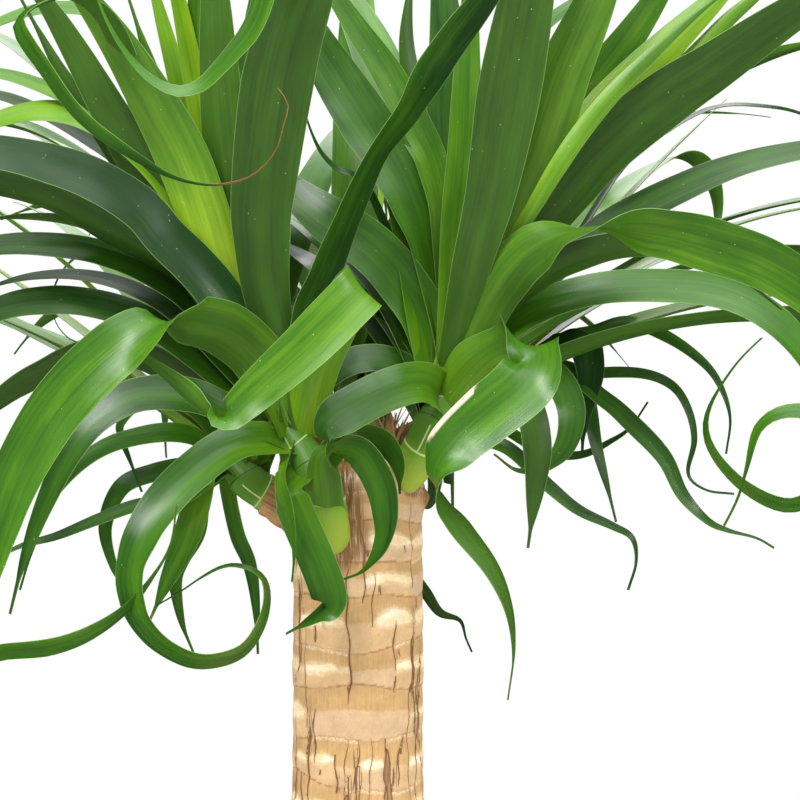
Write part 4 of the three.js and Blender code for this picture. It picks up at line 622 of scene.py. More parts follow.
def noted_leaf(row):
    """A leaf from its row of the table, with what it has besides the columns."""
    spec = dict(zip(LEAF_COLUMNS, row))
    for more in row[len(LEAF_COLUMNS):]:
        spec.update(more)
    points = [placed(point) for point in spec["route"]]
    points[0] = root_at(SHOOTS[spec["head"]], points[0], points[1])
    line, at, length = even_line(points, BLADE["steps"])
    tangents = tangents_of(line)
    widths = carried_widths(line, tangents, across_way(math.radians(spec["heading"])))
    faces, rolls = spec["face"], [0] * len(points)
    if faces is not None:
        faces = faces if isinstance(faces, list) else [faces] * len(points)
        rolls = noted_rolls(faces, line, at, tangents, widths)
    sides = rolled(tangents, widths, read_list(rolls, at))
    leaf = dict(spec, line=line, length=length, tangents=tangents, sides=sides)
    leaf["halves"] = half_widths(leaf)
    return leaf


def grown_leaf(head, i, n, attempt, draw):
    """The i-th of n leaves that the rule gives a head, or None where its line isn't free."""
    share = i / (n - 1)

    def play(span):
        return (draw() - 0.5) * span

    def times():
        return mix(*RULE["size_play"], draw())

    azimuth_play = play(RULE["azimuth_play"] + RULE["azimuth_play_per_try"] * attempt)
    azimuth = math.radians(RULE["golden"] * i + azimuth_play)
    centre, axis, radius = along(SHOOTS[head], mix(1, RULE["lowest_seat"], share))
    side = unit(np.cross(axis, np.array(STEM_REFERENCE)))
    out = side * math.cos(azimuth) + np.cross(axis, side) * math.sin(azimuth)
    lift = math.radians(mix(*RULE["lift"], share ** 0.8) + play(RULE["lift_play"]))
    start = unit(axis * math.sin(lift) + out * math.cos(lift))
    heading = math.atan2(start[1], start[0])
    rise = math.asin(start[2])
    length = mix(*RULE["length"], math.sin(math.pi * share ** 0.6)) * times()
    droop = math.radians(mix(*RULE["droop"], share) + play(RULE["droop_play"]))
    curl_size = draw()
    curl = math.radians(RULE["curl"]) * curl_size if draw() < RULE["curled"] else 0
    drift = math.radians(play(mix(*RULE["drift"], share)))
    twist = play(mix(*RULE["twist"], share))
    spread = mix(*RULE["width"], math.sin(math.pi * min(share * 1.2, 1) ** 0.7))
    width = max(spread * times(), RULE["least_width"])
    steps = BLADE["steps"]
    s = (np.arange(steps) + 0.5) / steps
    curled = np.maximum(0, (s - RULE["curl_from"]) / (1 - RULE["curl_from"])) ** 1.6
    slope = rise - droop * s ** 1.25 - curl * curled
    course = heading + drift * s * s
    flat = np.cos(slope)
    moves = np.stack([flat * np.cos(course), flat * np.sin(course), np.sin(slope)], axis=1)
    root = root_in(centre, radius, out)
    line = root + np.concatenate([np.zeros((1, 3)), np.cumsum(moves * length / steps, axis=0)])
    ends = np.arange(steps + 1) / steps
    if not keeps_free(line, length * ends):
        return None
    tangents = tangents_of(line)
    widths = carried_widths(line, tangents, across_way(heading))
    sides = rolled(tangents, widths, twist * ends ** 1.5)
    leaf = {
        "head": head, "line": line, "length": length, "tangents": tangents, "sides": sides,
        "width": width, "base": RULE["base"], "full": mix(*RULE["full"], share),
        "tone": mix(*RULE["tone"], min(1, share * 1.6) ** 0.6),
    }
    leaf["halves"] = half_widths(leaf)
    return leaf


# Space for leaves
def spots_on(leaf):
    """Places all over a blade, and the run of each from the root."""
    spots, runs = [], []
    for i, half in enumerate(leaf["halves"]):
        count = 2 * max(1, math.ceil(half / RULE["spacing"]))
        shares = 2 * np.arange(count + 1) / count - 1
        spots.append(leaf["line"][i] + leaf["sides"][i] * (half * shares)[:, None])
        runs.append(np.full(count + 1, leaf["length"] * i / BLADE["steps"]))
    return np.concatenate(spots), np.concatenate(runs)


def keeps_free(spots, runs):
    """Whether a leaf keeps out of what is to stay free."""
    x, y, z = spots.T
    rooted = runs < FREE["root_run"]
    room = np.where(rooted, FREE["root_radius"], FREE["trunk_radius"])
    if np.any((z < FREE["trunk_level"]) & (np.hypot(x, y) < room)):
        return False
    near = 1 + y / EYE["distance"]
    across = EYE["across"] + (x - EYE["across"]) / near
    up = EYE["up"] + (z - EYE["up"]) / near
    beside = np.abs(across - FREE["middle"]) >= FREE["half_width"]
    beside |= (up <= FREE["low"]) | (up >= FREE["high"])
    depth = np.where(up > FREE["upper_level"], FREE["upper_depth"], FREE["lower_depth"])
    floor = np.array(FREE["floors"])[np.searchsorted(FREE["edges"], across, side="right")]
    fault = np.where(beside, z < FREE["ground"], (y < depth) | (up < floor))
    return not np.any(fault & ~rooted)


def clear_of_stems(head, spots):
    others = [shoot for name, shoot in SHOOTS.items() if name != head]
    for shoot in others:
        for k in range(13):
            centre, _, radius = along(shoot, k / 12)
            if np.any(np.sum((spots - centre) ** 2, axis=1) < (radius + RULE["stem_clear"]) ** 2):
                return False
    return True


class TakenSpace:
    """Space already taken by leaves, kept in a tree so that near ones are found quickly."""

    def __init__(self):
        self.spots = []
        self.tree = None

    def add(self, head, spots, runs):
        self.spots.extend((spot, run, head) for spot, run in zip(spots.tolist(), runs.tolist()))
        self.tree = None

    def meets(self, head, spots, runs):
        if self.tree is None:
            self.tree = kdtree.KDTree(len(self.spots))
            for index, (spot, _, _) in enumerate(self.spots):
                self.tree.insert(spot, index)
            self.tree.balance()
        for spot, run in zip(spots.tolist(), runs.tolist()):
            for _, index, gap in self.tree.find_range(spot, RULE["clear_other"]):
                _, other_run, other_head = self.spots[index]
                free = min(run, other_run) > RULE["crowded"]
                if other_head != head or (free and gap < RULE["clear_own"]):
                    return True
        return False


def all_leaves():
    leaves = [noted_leaf(row) for row in NOTED_LEAVES]
    taken = TakenSpace()
    for leaf in leaves:
        taken.add(leaf["head"], *spots_on(leaf))
    draw = mulberry(RULE["seed"])
    for i in range(max(shoot["grown"] for shoot in SHOOTS.values())):
        for head, shoot in SHOOTS.items():
            if i >= shoot["grown"]:
                continue
            for attempt in range(RULE["tries"]):
                leaf = grown_leaf(head, i, shoot["grown"], attempt, draw)
                if leaf is None:
                    continue
                spots, runs = spots_on(leaf)
                if not keeps_free(spots, runs) or not clear_of_stems(head, spots):
                    continue
                if not taken.meets(head, spots, runs):
                    taken.add(head, spots, runs)
                    leaves.append(leaf)
                    break
    return leaves + [noted_leaf(row) for row in FINE_LEAVES]


# Materials
class Shader:
    """One material, with short ways to add its nodes."""

    def __init__(self, name, **settings):
        self.material = bpy.data.materials.new(name)
        self.material.use_nodes = True
        self.tree = self.material.node_tree
        self.surface = self.tree.nodes["Principled BSDF"]
        for socket, value in settings.items():
            self.set(socket.replace("_", " "), value)

    def add(self, kind, inputs=(), **settings):
        node = self.tree.nodes.new(kind)
        for name, value in settings.items():
            setattr(node, name, value)
        for socket, value in dict(inputs).items():
            self.put(value, node.inputs[socket])
        return node

    def put(self, value, socket):
        if isinstance(value, bpy.types.NodeSocket):
            self.tree.links.new(value, socket)
        elif socket.type == "RGBA":
            socket.default_value = (*value, 1.0)
        else:
            socket.default_value = value

    def set(self, socket, value):
        self.put(value, self.surface.inputs[socket])

    def math(self, operation, a, b=0.0, clamp=False):
        node = self.add("ShaderNodeMath", {0: a, 1: b}, operation=operation, use_clamp=clamp)
        return node.outputs[0]

    def plus(self, a, b, clamp=False):
        return self.math("ADD", a, b, clamp)

    def less(self, a, b):
        return self.math("SUBTRACT", a, b)

    def times(self, a, b, clamp=False):
        return self.math("MULTIPLY", a, b, clamp)

    def size(self, a):
        return self.math("ABSOLUTE", a)

    def swing(self, pattern, weight):
        """A pattern round a half, as a swing of this weight round nothing."""
        return self.times(self.less(pattern, 0.5), weight)

    def parts(self, name):
        """The three numbers that a mesh keeps under this name."""
        source = self.add("ShaderNodeAttribute", attribute_name=name)
        return self.add("ShaderNodeSeparateXYZ", {0: source.outputs["Vector"]}).outputs

    def places(self):
        return self.add("ShaderNodeTexCoord").outputs["Object"]

    def point(self, x, y, z):
        return self.add("ShaderNodeCombineXYZ", {0: x, 1: y, 2: z}).outputs[0]

    def noise(self, place, scale, detail=3.0, roughness=0.55):
        inputs = {"Vector": place, "Scale": scale, "Detail": detail, "Roughness": roughness}
        return self.add("ShaderNodeTexNoise", inputs).outputs["Fac"]

    def cells(self, place, scale):
        return self.add("ShaderNodeTexVoronoi", {"Vector": place, "Scale": scale}).outputs["Distance"]

    def between(self, low, high, value):
        """0 below low and 1 above high, with a soft step between."""
        inputs = {"Value": value, "From Min": low, "From Max": high}
        return self.add("ShaderNodeMapRange", inputs, interpolation_type="SMOOTHSTEP").outputs[0]

    def blend(self, share, a, b, how="MIX"):
        node = self.add("ShaderNodeMix", data_type="RGBA", blend_type=how)
        for index, value in ((0, share), (6, a), (7, b)):
            self.put(value, node.inputs[index])
        return node.outputs[2]

    def lay(self, shown, over, mask, strength=None):
        """What is shown, with a colour laid over it where the mask is, at this strength."""
        share = mask if strength is None else self.times(mask, strength)
        return self.blend(share, shown, over)

    def shade(self, shown, level):
        """What is shown, darker or lighter by a number."""
        return self.blend(1.0, shown, self.point(level, level, level), "MULTIPLY")

    def ramp(self, share, stops, how="LINEAR"):
        node = self.add("ShaderNodeValToRGB", {0: share})
        node.color_ramp.interpolation = how
        elements = node.color_ramp.elements
        while len(elements) < len(stops):
            elements.new(1)
        for element, (place, colour) in zip(elements, stops):
            element.position = place
            element.color = (*colour, 1.0)
        return node.outputs[0]

    def bump(self, height, strength, distance):
        inputs = {"Height": height, "Strength": strength, "Distance": distance}
        self.set("Normal", self.add("ShaderNodeBump", inputs).outputs[0])


def leaf_material():
    """Glossy blades with fine lengthwise veins, duller undersides and thin pale margins."""
    shader = Shader("leaf", Subsurface_Weight=0.1, Subsurface_Scale=0.0012,
                    Subsurface_Radius=(0.6, 1.0, 0.25), Specular_IOR_Level=0.5)
    across, run, seed = shader.parts("leaf_place")
    tone, dry, under = shader.parts("leaf_tint")
    share, edge, half = shader.parts("leaf_shape")
    worn, _, _ = shader.parts("leaf_wear")
    flat = shader.point(across, run, seed)
    strand = shader.plus(across, shader.times(seed, 40.0))
    lengthwise = shader.point(strand, shader.times(run, 0.012), seed)
    veins = shader.noise(lengthwise, 0.85, 5.0, 0.75)
    bands = shader.noise(lengthwise, 0.25, 2.0)
    patches = shader.noise(shader.point(across, shader.times(run, 0.3), seed), 0.08)
    lively = tone
    for pattern, weight in ((veins, 0.5), (bands, 0.42), (patches, 0.5)):
        lively = shader.plus(lively, shader.swing(pattern, weight))
    stops = [(0.0, LEAF_DARK), (0.38, LEAF_MID), (0.72, LEAF_FRESH), (1.0, LEAF_LIME)]
    shown = shader.ramp(lively, stops)
    dull = shader.times(under, shader.between(0.75, 0.25, tone))
    shown = shader.lay(shown, LEAF_UNDER, dull, 0.4)
    clustered = shader.between(0.53, 0.63, shader.noise(flat, 0.06))
    speck = shader.times(shader.between(0.1, 0.06, shader.cells(flat, 0.3)), clustered)
    shown = shader.lay(shown, LEAF_SPECK, speck, 0.75)
    margin = shader.times(shader.between(0.34, 0.1, edge), shader.between(2.0, 5.0, half))
    shown = shader.lay(shown, LEAF_MARGIN, margin, 0.7)
    shown = shader.lay(shown, LEAF_WORN, shader.between(0.1, 0.5, worn))
    start = shader.less(1.0, dry)
    ragged = shader.plus(share, shader.swing(veins, 0.05))
    gone = shader.between(start, shader.plus(start, 0.03), ragged)
    shader.set("Base Color", shader.lay(shown, LEAF_DRY, gone))
    gloss = shader.plus(0.24, shader.times(under, 0.06))
    shader.set("Roughness", shader.plus(gloss, shader.times(veins, 0.12)))
    shader.bump(veins, 0.3, 0.0004)
    return shader.material


def shoot_material():
    """Fresh green sheaths that pale to yellow at the foot, with cream edges and dark grooves."""
    shader = Shader("shoot", Roughness=0.38, Subsurface_Weight=0.12, Subsurface_Scale=0.003,
                    Subsurface_Radius=(0.7, 1.0, 0.3), Specular_IOR_Level=0.25)
    around, run, other = shader.parts("shoot_place")
    foot, line, groove = shader.parts("shoot_tint")
    streaks = shader.noise(shader.point(around, shader.times(run, 0.06), other), 0.8, 4.0, 0.65)
    share = shader.plus(foot, shader.swing(streaks, 0.45))
    shown = shader.ramp(share, [(0.05, SHEATH_GREEN), (0.5, SHEATH_MID), (0.95, SHEATH_YELLOW)])
    shown = shader.lay(shown, SHEATH_GROOVE, shader.between(0.5, 0.2, groove), 0.8)
    shown = shader.lay(shown, SHEATH_EDGE, shader.between(0.5, 0.22, line), 0.85)
    shader.set("Base Color", shown)
    shader.bump(streaks, 0.2, 0.0004)
    return shader.material


def bark_material():
    """Ochre, cream and rosy plates between dark lengthwise cracks, with pale leaf scars."""
    shader = Shader("bark", Roughness=0.85, Specular_IOR_Level=0.25)
    around, height, tint = shader.parts("bark_place")
    off, width, age = shader.parts("bark_crack")
    cream, middle, scar = shader.parts("bark_zone")
    spot = shader.point(around, height, 0.0)
    fibres = shader.noise(shader.point(around, shader.times(height, 0.06), tint), 1.2, 4.0, 0.7)
    ragged = shader.noise(spot, 0.35, 3.0)
    clouds = shader.noise(spot, 0.07, 2.0)
    fine = shader.noise(spot, 1.1, 3.0)
    # Ground of a plate: streaked ochre above its middle line, even rose or tan below it
    lower = shader.blend(shader.between(0.35, 0.65, tint), BARK_ROSE, BARK_TAN)
    upper_share = shader.between(-0.6, 0.6, shader.plus(middle, shader.swing(ragged, 3.0)))
    streaked = shader.plus(0.68, shader.times(fibres, 0.62))
    even = shader.plus(0.86, shader.times(fine, 0.26))
    ground = shader.blend(upper_share, lower, BARK_OCHRE)
    shown = shader.shade(ground, shader.plus(even, shader.times(upper_share, shader.less(streaked, even))))
    # Cream patches with a faint darker rim and a soft surround
    drift = shader.noise(shader.point(shader.times(around, 0.4), height, 0.0), 0.3)
    patch = shader.plus(shader.plus(cream, shader.swing(ragged, 3.0)), shader.swing(drift, 4.0))
    shown = shader.lay(shown, BARK_FIBRE, shader.between(0.6, 0.0, shader.size(patch)), 0.22)
    pale = shader.blend(shader.between(0.35, 0.7, clouds), BARK_CREAM, BARK_PALE)
    pale = shader.shade(pale, even)
    shown = shader.lay(shown, pale, shader.between(-2.6, -0.3, patch), 0.45)
    shown = shader.lay(shown, pale, shader.between(-0.5, 0.5, patch))
    # Pale scar lines and brown seams where the bands meet
    joint = shader.plus(scar, shader.swing(ragged, 2.4))
    line = shader.between(1.5, 0.3, shader.size(shader.less(joint, 1.3)))
    line = shader.times(line, shader.between(0.35, 0.65, fine))
    shown = shader.lay(shown, BARK_PALE, line, 0.7)
    seam = shader.between(0.85, 0.2, shader.size(shader.plus(joint, 0.6)))
    seam = shader.times(seam, shader.between(0.36, 0.55, clouds))
    shown = shader.lay(shown, BARK_FIBRE, seam, 0.75)
    shown = shader.shade(shown, shader.plus(0.55, shader.times(shader.noise(spot, 0.07, 5.0, 0.7), 0.9)))
    # Cracks: a brown band beside them, a dark wall, and torn fibres inside the wide ones
    wobble = shader.plus(off, shader.swing(shader.noise(spot, 0.5, 2.0), 0.7))
    inside = shader.less(width, shader.size(wobble))
    brown_beside_crack = shader.times(shader.between(-1.5, 0.0, inside), shader.between(0.3, 0.65, fibres))
    shown = shader.lay(shown, BARK_FIBRE, brown_beside_crack, 0.4)
    core = shader.times(shader.between(0.35, 0.7, inside), shader.between(0.3, 0.6, fibres))
    torn = shader.blend(shader.between(0.5, 0.72, fibres), BARK_FIBRE, BARK_OCHRE)
    cracked = shader.between(-0.08, 0.12, inside)
    shown = shader.lay(shown, shader.blend(core, BARK_CRACK, torn), cracked, 0.92)
    aged = shader.times(age, shader.plus(0.25, shader.between(0.35, 0.6, fibres)), True)
    shader.set("Base Color", shader.lay(shown, BARK_OLD, aged))
    relief = shader.plus(shader.times(fibres, 0.5), shader.times(fine, 0.25))
    relief = shader.less(relief, shader.times(cracked, 1.4))
    relief = shader.less(relief, shader.times(shader.between(-0.1, 0.2, patch), 0.4))
    shader.bump(relief, 0.5, 0.0006)
    return shader.material


def pot_material():
    """Fired clay: cloudy, finely pitted, with a chalky bloom towards the foot."""
    shader = Shader("pot_clay", Roughness=0.88)
    places = shader.places()
    _, _, height = shader.add("ShaderNodeSeparateXYZ", {0: places}).outputs
    grain = shader.noise(places, 700.0, 3.0, 0.6)
    shown = shader.ramp(shader.noise(places, 14.0, 5.0, 0.6), [(0.35, CLAY), (0.7, CLAY_LIGHT)])
    bloom = shader.times(shader.between(0.5, 0.72, shader.noise(places, 33.0, 6.0, 0.65)), 0.4)
    bloom = shader.plus(bloom, shader.times(shader.between(0.05, 0.0, height), 0.3), True)
    shown = shader.lay(shown, CLAY_BLOOM, bloom)
    pits = shader.ramp(grain, [(0.3, CLAY), (0.7, CLAY_LIGHT)])
    shader.set("Base Color", shader.blend(0.25, shown, pits))
    turning = shader.noise(shader.point(0.0, 0.0, height), 420.0, 2.0)
    shader.bump(shader.plus(grain, shader.times(turning, 0.8)), 0.25, 0.0006)
    return shader.material


def soil_material():
    """Dark potting soil, with lighter fibres in it."""
    shader = Shader("soil", Roughness=0.95)
    places = shader.places()
    clods = shader.noise(places, 160.0, 6.0, 0.7)
    shader.set("Base Color", shader.ramp(clods, [(0.35, SOIL_DARK), (0.75, SOIL_BROWN)]))
    shader.bump(shader.plus(clods, shader.cells(places, 420.0)), 0.8, 0.002)
    return shader.material


def crumb_material():
    """Bits of bark, clods and pale pumice on the soil, each with its own colour."""
    shader = Shader("soil_crumbs", Roughness=0.9)
    kind, _, _ = shader.parts("crumb")
    stops = [(0.0, SOIL_DARK), (0.5, SOIL_BROWN), (0.75, CRUMB_BARK), (0.93, CRUMB_PUMICE)]
    grain = shader.noise(shader.places(), 600.0, 4.0, 0.7)
    shown = shader.shade(shader.ramp(kind, stops, "CONSTANT"), shader.plus(0.6, shader.times(grain, 0.8)))
    shader.set("Base Color", shown)
    shader.bump(grain, 0.6, 0.001)
    return shader.material


# Meshes
def mesh_object(name, places, faces, material, layers=(), sharp=None, caps=()):
    """An object from places in millimetres, faces, and named lists of three numbers a place."""
    mesh = bpy.data.meshes.new(name)
    mesh.from_pydata((np.asarray(places) * MM).tolist(), [], np.asarray(faces).tolist() + list(caps))
    for layer, values in dict(layers).items():
        attribute = mesh.attributes.new(layer, "FLOAT_VECTOR", "POINT")
        attribute.data.foreach_set("vector", np.asarray(values, np.float32).ravel())
    mesh.shade_smooth()
    if sharp is not None:
        mesh.set_sharp_from_angle(angle=math.radians(sharp))
    mesh.materials.append(material)
    piece = bpy.data.objects.new(name, mesh)
    bpy.context.scene.collection.objects.link(piece)
    return piece


def joined(meshes):
    """One set of places, faces and layers from several."""
    start = 0
    places, faces = [], []
    layers = {}
    for these, their_faces, their_layers in meshes:
        places.append(these)
        faces.append(np.asarray(their_faces) + start)
        start += len(these)
        for layer, values in their_layers.items():
            layers.setdefault(layer, []).append(values)
    together = {layer: np.concatenate(values) for layer, values in layers.items()}
    return np.concatenate(places), np.concatenate(faces), together


def grid_faces(rows, around, closed=False):
    """Faces over rows of places that go round, closed from the last row to the first if asked."""
    ring = np.arange(around)
    after = (ring + 1) % around
    starts = np.arange(rows if closed else rows - 1)[:, None] * around
    above = (starts + around) % (rows * around)
    corners = [starts + ring, starts + after, above + after, above + ring]
    return np.stack(corners, axis=-1).reshape(-1, 4)


def end_caps(rows, around, start=0):
    """One face that closes the first row, and one that closes the last."""
    first = [start + k for k in range(around)]
    last = [start + (rows - 1) * around + k for k in range(around)]
    return [first[::-1], last]


def layer_of(shape, *values):
    """Three numbers for each place of a grid, as one list."""
    return np.stack([np.broadcast_to(value, shape) for value in values], axis=-1).reshape(-1, 3)


def blade_mesh(leaf, seed):
    """A thin channelled blade with its margins, upper face and underside."""
    line = finer_rows(leaf["line"], BLADE["finer"])
    halves = np.maximum(finer_rows(leaf["halves"], BLADE["finer"]), BLADE["least_half"])
    dry = leaf.get("dry", BLADE["dry"])
    tangents = tangents_of(line)
    sides = finer_rows(leaf["sides"], BLADE["finer"])
    sides = unit(sides - tangents * np.sum(sides * tangents, axis=1, keepdims=True))
    normals = np.cross(tangents, sides)
    rows = len(line)
    s = np.linspace(0, 1, rows)[:, None]
    x = np.linspace(-1, 1, BLADE["across"] + 1)[None, :]
    shrivelled = smoothstep(0.9 - dry, 1.0 - dry, s) * (dry > 0.1)
    half = halves[:, None] * mix(1, BLADE["dry_width"], shrivelled)
    run = s * leaf["length"]
    draw = mulberry(BLADE["seed"] + seed)
    phase = draw() * FULL_TURN
    lean = draw() - 0.5
    wave = 16 + 10 * draw()
    channel = BLADE["root_channel"] * np.exp(-(s / 0.25) ** 2) + BLADE["channel"]
    softness = BLADE["fold_softness"]
    folded = np.sqrt(x * x + softness) - math.sqrt(softness)
    rise = channel * half * mix(x * x, folded, BLADE["fold"])
    ripple = np.sin(run / wave + phase + 1.3 * np.sign(x)) * np.abs(x) ** 3
    rise = rise + BLADE["ripple"] * half * ripple * smoothstep(0.1, 0.3, s) * smoothstep(3, 9, half)
    centre = line[:, None, :] + sides[:, None, :] * (half * x)[:, :, None]
    body = np.minimum(BLADE["thickness"] * (1 - x * x) + BLADE["rim"], 0.5 * half)
    up = normals[:, None, :]
    top = centre + up * (rise + body / 2)[:, :, None]
    bottom = (centre + up * (rise - body / 2)[:, :, None])[:, ::-1]
    places = np.concatenate([top, bottom], axis=1)
    around = places.shape[1]
    columns = np.concatenate([x[0], x[0, ::-1]])
    shape = (rows, around)
    under = np.arange(around) >= around // 2
    fade_from, fade_to, left = leaf.get("fade", BLADE["fade"])
    fading = leaf["tone"] * mix(1, left, smoothstep(fade_from, fade_to, s))
    # The tone is lighter towards the root. lean paints one half of the blade lighter and the other half
    # darker: painted shade standing in for the light falling on the blade's fold.
    tone = fading + 0.3 * np.exp(-(run / BLADE["heart"]) ** 2) + 0.2 * lean * columns
    side, start, end = leaf.get("worn", (0, 0, 0))
    worn_run = smoothstep(start, start + 0.02, s) * smoothstep(end, end - 0.04, s)
    worn = worn_run * smoothstep(0.9, 0.98, columns * side)
    layers = {
        "leaf_place": layer_of(shape, half * columns, run, draw()),
        "leaf_tint": layer_of(shape, tone, dry, under),
        "leaf_shape": layer_of(shape, s, half * (1 - np.abs(columns)), half),
        "leaf_wear": layer_of(shape, worn, 0, 0),
    }
    faces = grid_faces(rows, around)[:, [0, 3, 2, 1]]
    pairs = np.arange(BLADE["across"])
    root = np.stack([pairs, pairs + 1, around - 2 - pairs, around - 1 - pairs], axis=-1)
    tip = root[:, ::-1] + (rows - 1) * around
    return places.reshape(-1, 3) + CROWN, np.concatenate([faces, root, tip]), layers


class Stem:
    """A smooth stem as rows of places: shares along it, angles round it and its two directions."""

    def __init__(self, stem, rows, around):
        points = [np.array(point, float) for point in stem["path"]]
        self.line, at, self.length = even_line(points, rows - 1)
        tangents = tangents_of(self.line)
        self.side = carried_widths(self.line, tangents, np.array(STEM_REFERENCE))
        self.other = np.cross(tangents, self.side)
        self.widths = np.interp(at, np.arange(len(stem["radii"])), stem["radii"])[:, None]
        self.shape = (rows, around)
        self.angle = round_angles(around)
        self.t = np.linspace(0, 1, rows)[:, None]

    def mesh(self, radius, layers):
        across = self.side[:, None, :] * (radius * np.cos(self.angle))[:, :, None]
        across = across + self.other[:, None, :] * (radius * np.sin(self.angle))[:, :, None]
        places = (self.line[:, None, :] + across).reshape(-1, 3) + CROWN
        return places, grid_faces(*self.shape), layers, end_caps(*self.shape)


def shoot_mesh(name):
    """A shoot's stem in its sheaths: a cream upper edge, a cream overlap and a dark groove each."""
    shoot = SHOOTS[name]
    stem = Stem(shoot, SHEATH["rows"], SHEATH["around"])
    angle, t, shape = stem.angle, stem.t, stem.shape
    radius = np.broadcast_to(stem.widths, shape).copy()
    edge_line = np.full(shape, FAR)
    groove = np.full(shape, FAR)
    levels = SHEATH["levels"]
    for k, level in enumerate(levels):
        towards = level_way(math.radians(shoot["overlap"] + SHEATH["turn"] * k))
        row = int(level * (shape[0] - 1))
        facing = math.atan2(towards @ stem.other[row], towards @ stem.side[row])
        off = (t - level - SHEATH["tilt"] * (1 - np.cos(angle - facing))) * stem.length
        radius += SHEATH["step"] * (smoothstep(0.35, -0.35, off) - 0.5)
        rim = edge_line if k % 2 == 0 else groove
        np.minimum(rim, np.abs(off), out=rim)
        above = levels[k + 1] if k + 1 < len(levels) else 1.0
        sideways = np.abs(np.sin((angle - facing) / 2)) * 2 * stem.widths
        sideways = sideways + FAR * smoothstep(0.0, 0.6, -off) + FAR * (t > above)
        np.minimum(edge_line, sideways, out=edge_line)
    radius *= 1 + 0.025 * np.sin(2 * angle + t * 5)
    radius *= np.sqrt(np.clip(1 - ((0.06 - t) / 0.06).clip(0) ** 2, 0.02, 1))
    foot = smoothstep(levels[0] + 0.12, levels[0] - 0.2, t)
    reach = SHEATH["streak_radius"]
    layers = {
        "shoot_place": layer_of(shape, np.cos(angle) * reach, t * stem.length, np.sin(angle) * reach),
        "shoot_tint": layer_of(shape, foot, edge_line, groove),
    }
    return stem.mesh(radius, layers)


def plain_bark(shape, around, height, tint, age):
    """The numbers of a surface in the bark's finish that has no cracks, patches or scars."""
    return {
        "bark_place": layer_of(shape, around, height, tint),
        "bark_crack": layer_of(shape, FAR, 0, age),
        "bark_zone": layer_of(shape, -FAR, 5, FAR),
    }


def stub_mesh(stub, index):
    """A woody stub that carries an outer shoot, ringed and rough."""
    stem = Stem(stub, STUB["rows"], STUB["around"])
    angle, t = stem.angle, stem.t
    draw = mulberry(STUB["seed"] + index)
    phases = [draw() * FULL_TURN for _ in range(4)]
    rings = np.abs(np.sin(t * 15 + 0.5 * np.sin(angle + phases[0]) + phases[1]))
    lumps = np.sin(3 * angle + phases[2] + t * 3) + 0.6 * np.sin(7 * angle + phases[3] - t * 6)
    radius = stem.widths - 0.7 + STUB["rings"] * np.sqrt(rings) + STUB["lumps"] * lumps
    radius = radius * np.sqrt(np.clip(1 - ((t - 0.93) / 0.07).clip(0) ** 2, 0.15, 1))
    age = 0.7 + 0.3 * (1 - rings) + 0.15 * lumps
    return stem.mesh(radius, plain_bark(stem.shape, angle * 11, t * stem.length, 0.4, age))


def dry_fibres(draw):
    """Dry strips of old sheath that stand on the cut between the two front shoots."""
    rows = FIBRES["rows"]
    strips = []
    for _ in range(FIBRES["count"]):
        start = np.array(FIBRES["foot"]) + [mix(-1, 1, draw()) * reach for reach in FIBRES["spread"]]
        length = mix(*FIBRES["length"], draw())
        lean, bend, facing = mix(-0.3, 0.35, draw()), mix(-0.4, 0.4, draw()), mix(-0.6, 0.6, draw())
        s = np.linspace(0, 1, rows)[:, None]
        line = start + length * np.concatenate([lean * s + bend * s ** 2, -0.15 * s, s], axis=1)
        half = mix(*FIBRES["half"], draw()) * (1 - 0.8 * s ** 2)
        side = level_way(facing)
        thick = np.cross(side, (0, 0, 1)) * FIBRES["thickness"]
        ring = [line - half * side - thick, line + half * side - thick,
                line + half * side + thick, line - half * side + thick]
        places = np.stack(ring, axis=1)
        around = places[..., 0] + 9 * places[..., 1]
        layers = plain_bark(places.shape[:2], around, s * length, draw(), mix(0.35, 1, draw()))
        faces = np.concatenate([grid_faces(rows, 4), end_caps(rows, 4)])
        strips.append((places.reshape(-1, 3) + CROWN, faces, layers))
    return joined(strips)


# Trunk
def trunk_radius(height):
    spread = TRUNK["widening"] * ((TRUNK["top"] - height) / TRUNK["widening_run"]) ** 2
    reach = np.where(height > TRUNK["swell_level"], TRUNK["swell_above"], TRUNK["swell_below"])
    swell = TRUNK["swelling"] * np.exp(-((height - TRUNK["swell_level"]) / reach) ** 2)
    return TRUNK["neck_radius"] + spread + swell


def ring_heights():
    heights = [TRUNK["foot"]]
    while heights[-1] < TRUNK["top"]:
        step = TRUNK["fine_step"] if heights[-1] > TRUNK["fine_from"] else TRUNK["coarse_step"]
        heights.append(heights[-1] + step)
    return np.array(heights[:-1] + [TRUNK["top"]])


def bark_edges(angle, draw):
    """The wavy heights at which bands of bark meet, one row for each, with taller bands below."""
    levels = [TRUNK["foot"] - 30]
    edges = []
    while levels[-1] < TRUNK["top"] + 30:
        heights, least, most = zip(*BARK["bands"])
        least, most = (np.interp(levels[-1], heights, sizes) for sizes in (least, most))
        phases = [draw() * FULL_TURN for _ in range(3)]
        wave = np.sin(angle + phases[0]) + 0.7 * np.sin(2 * angle + phases[1])
        wave = wave + 0.35 * np.sin(5 * angle + phases[2])
        edges.append(levels[-1] + BARK["wave"] * least * wave)
        levels.append(levels[-1] + mix(least, most, draw()))
    return np.array(edges)


def below_neck(height):
    """0 on the upper trunk and 1 on its thick lower end, where the bark is coarser."""
    return smoothstep(450, 250, height)


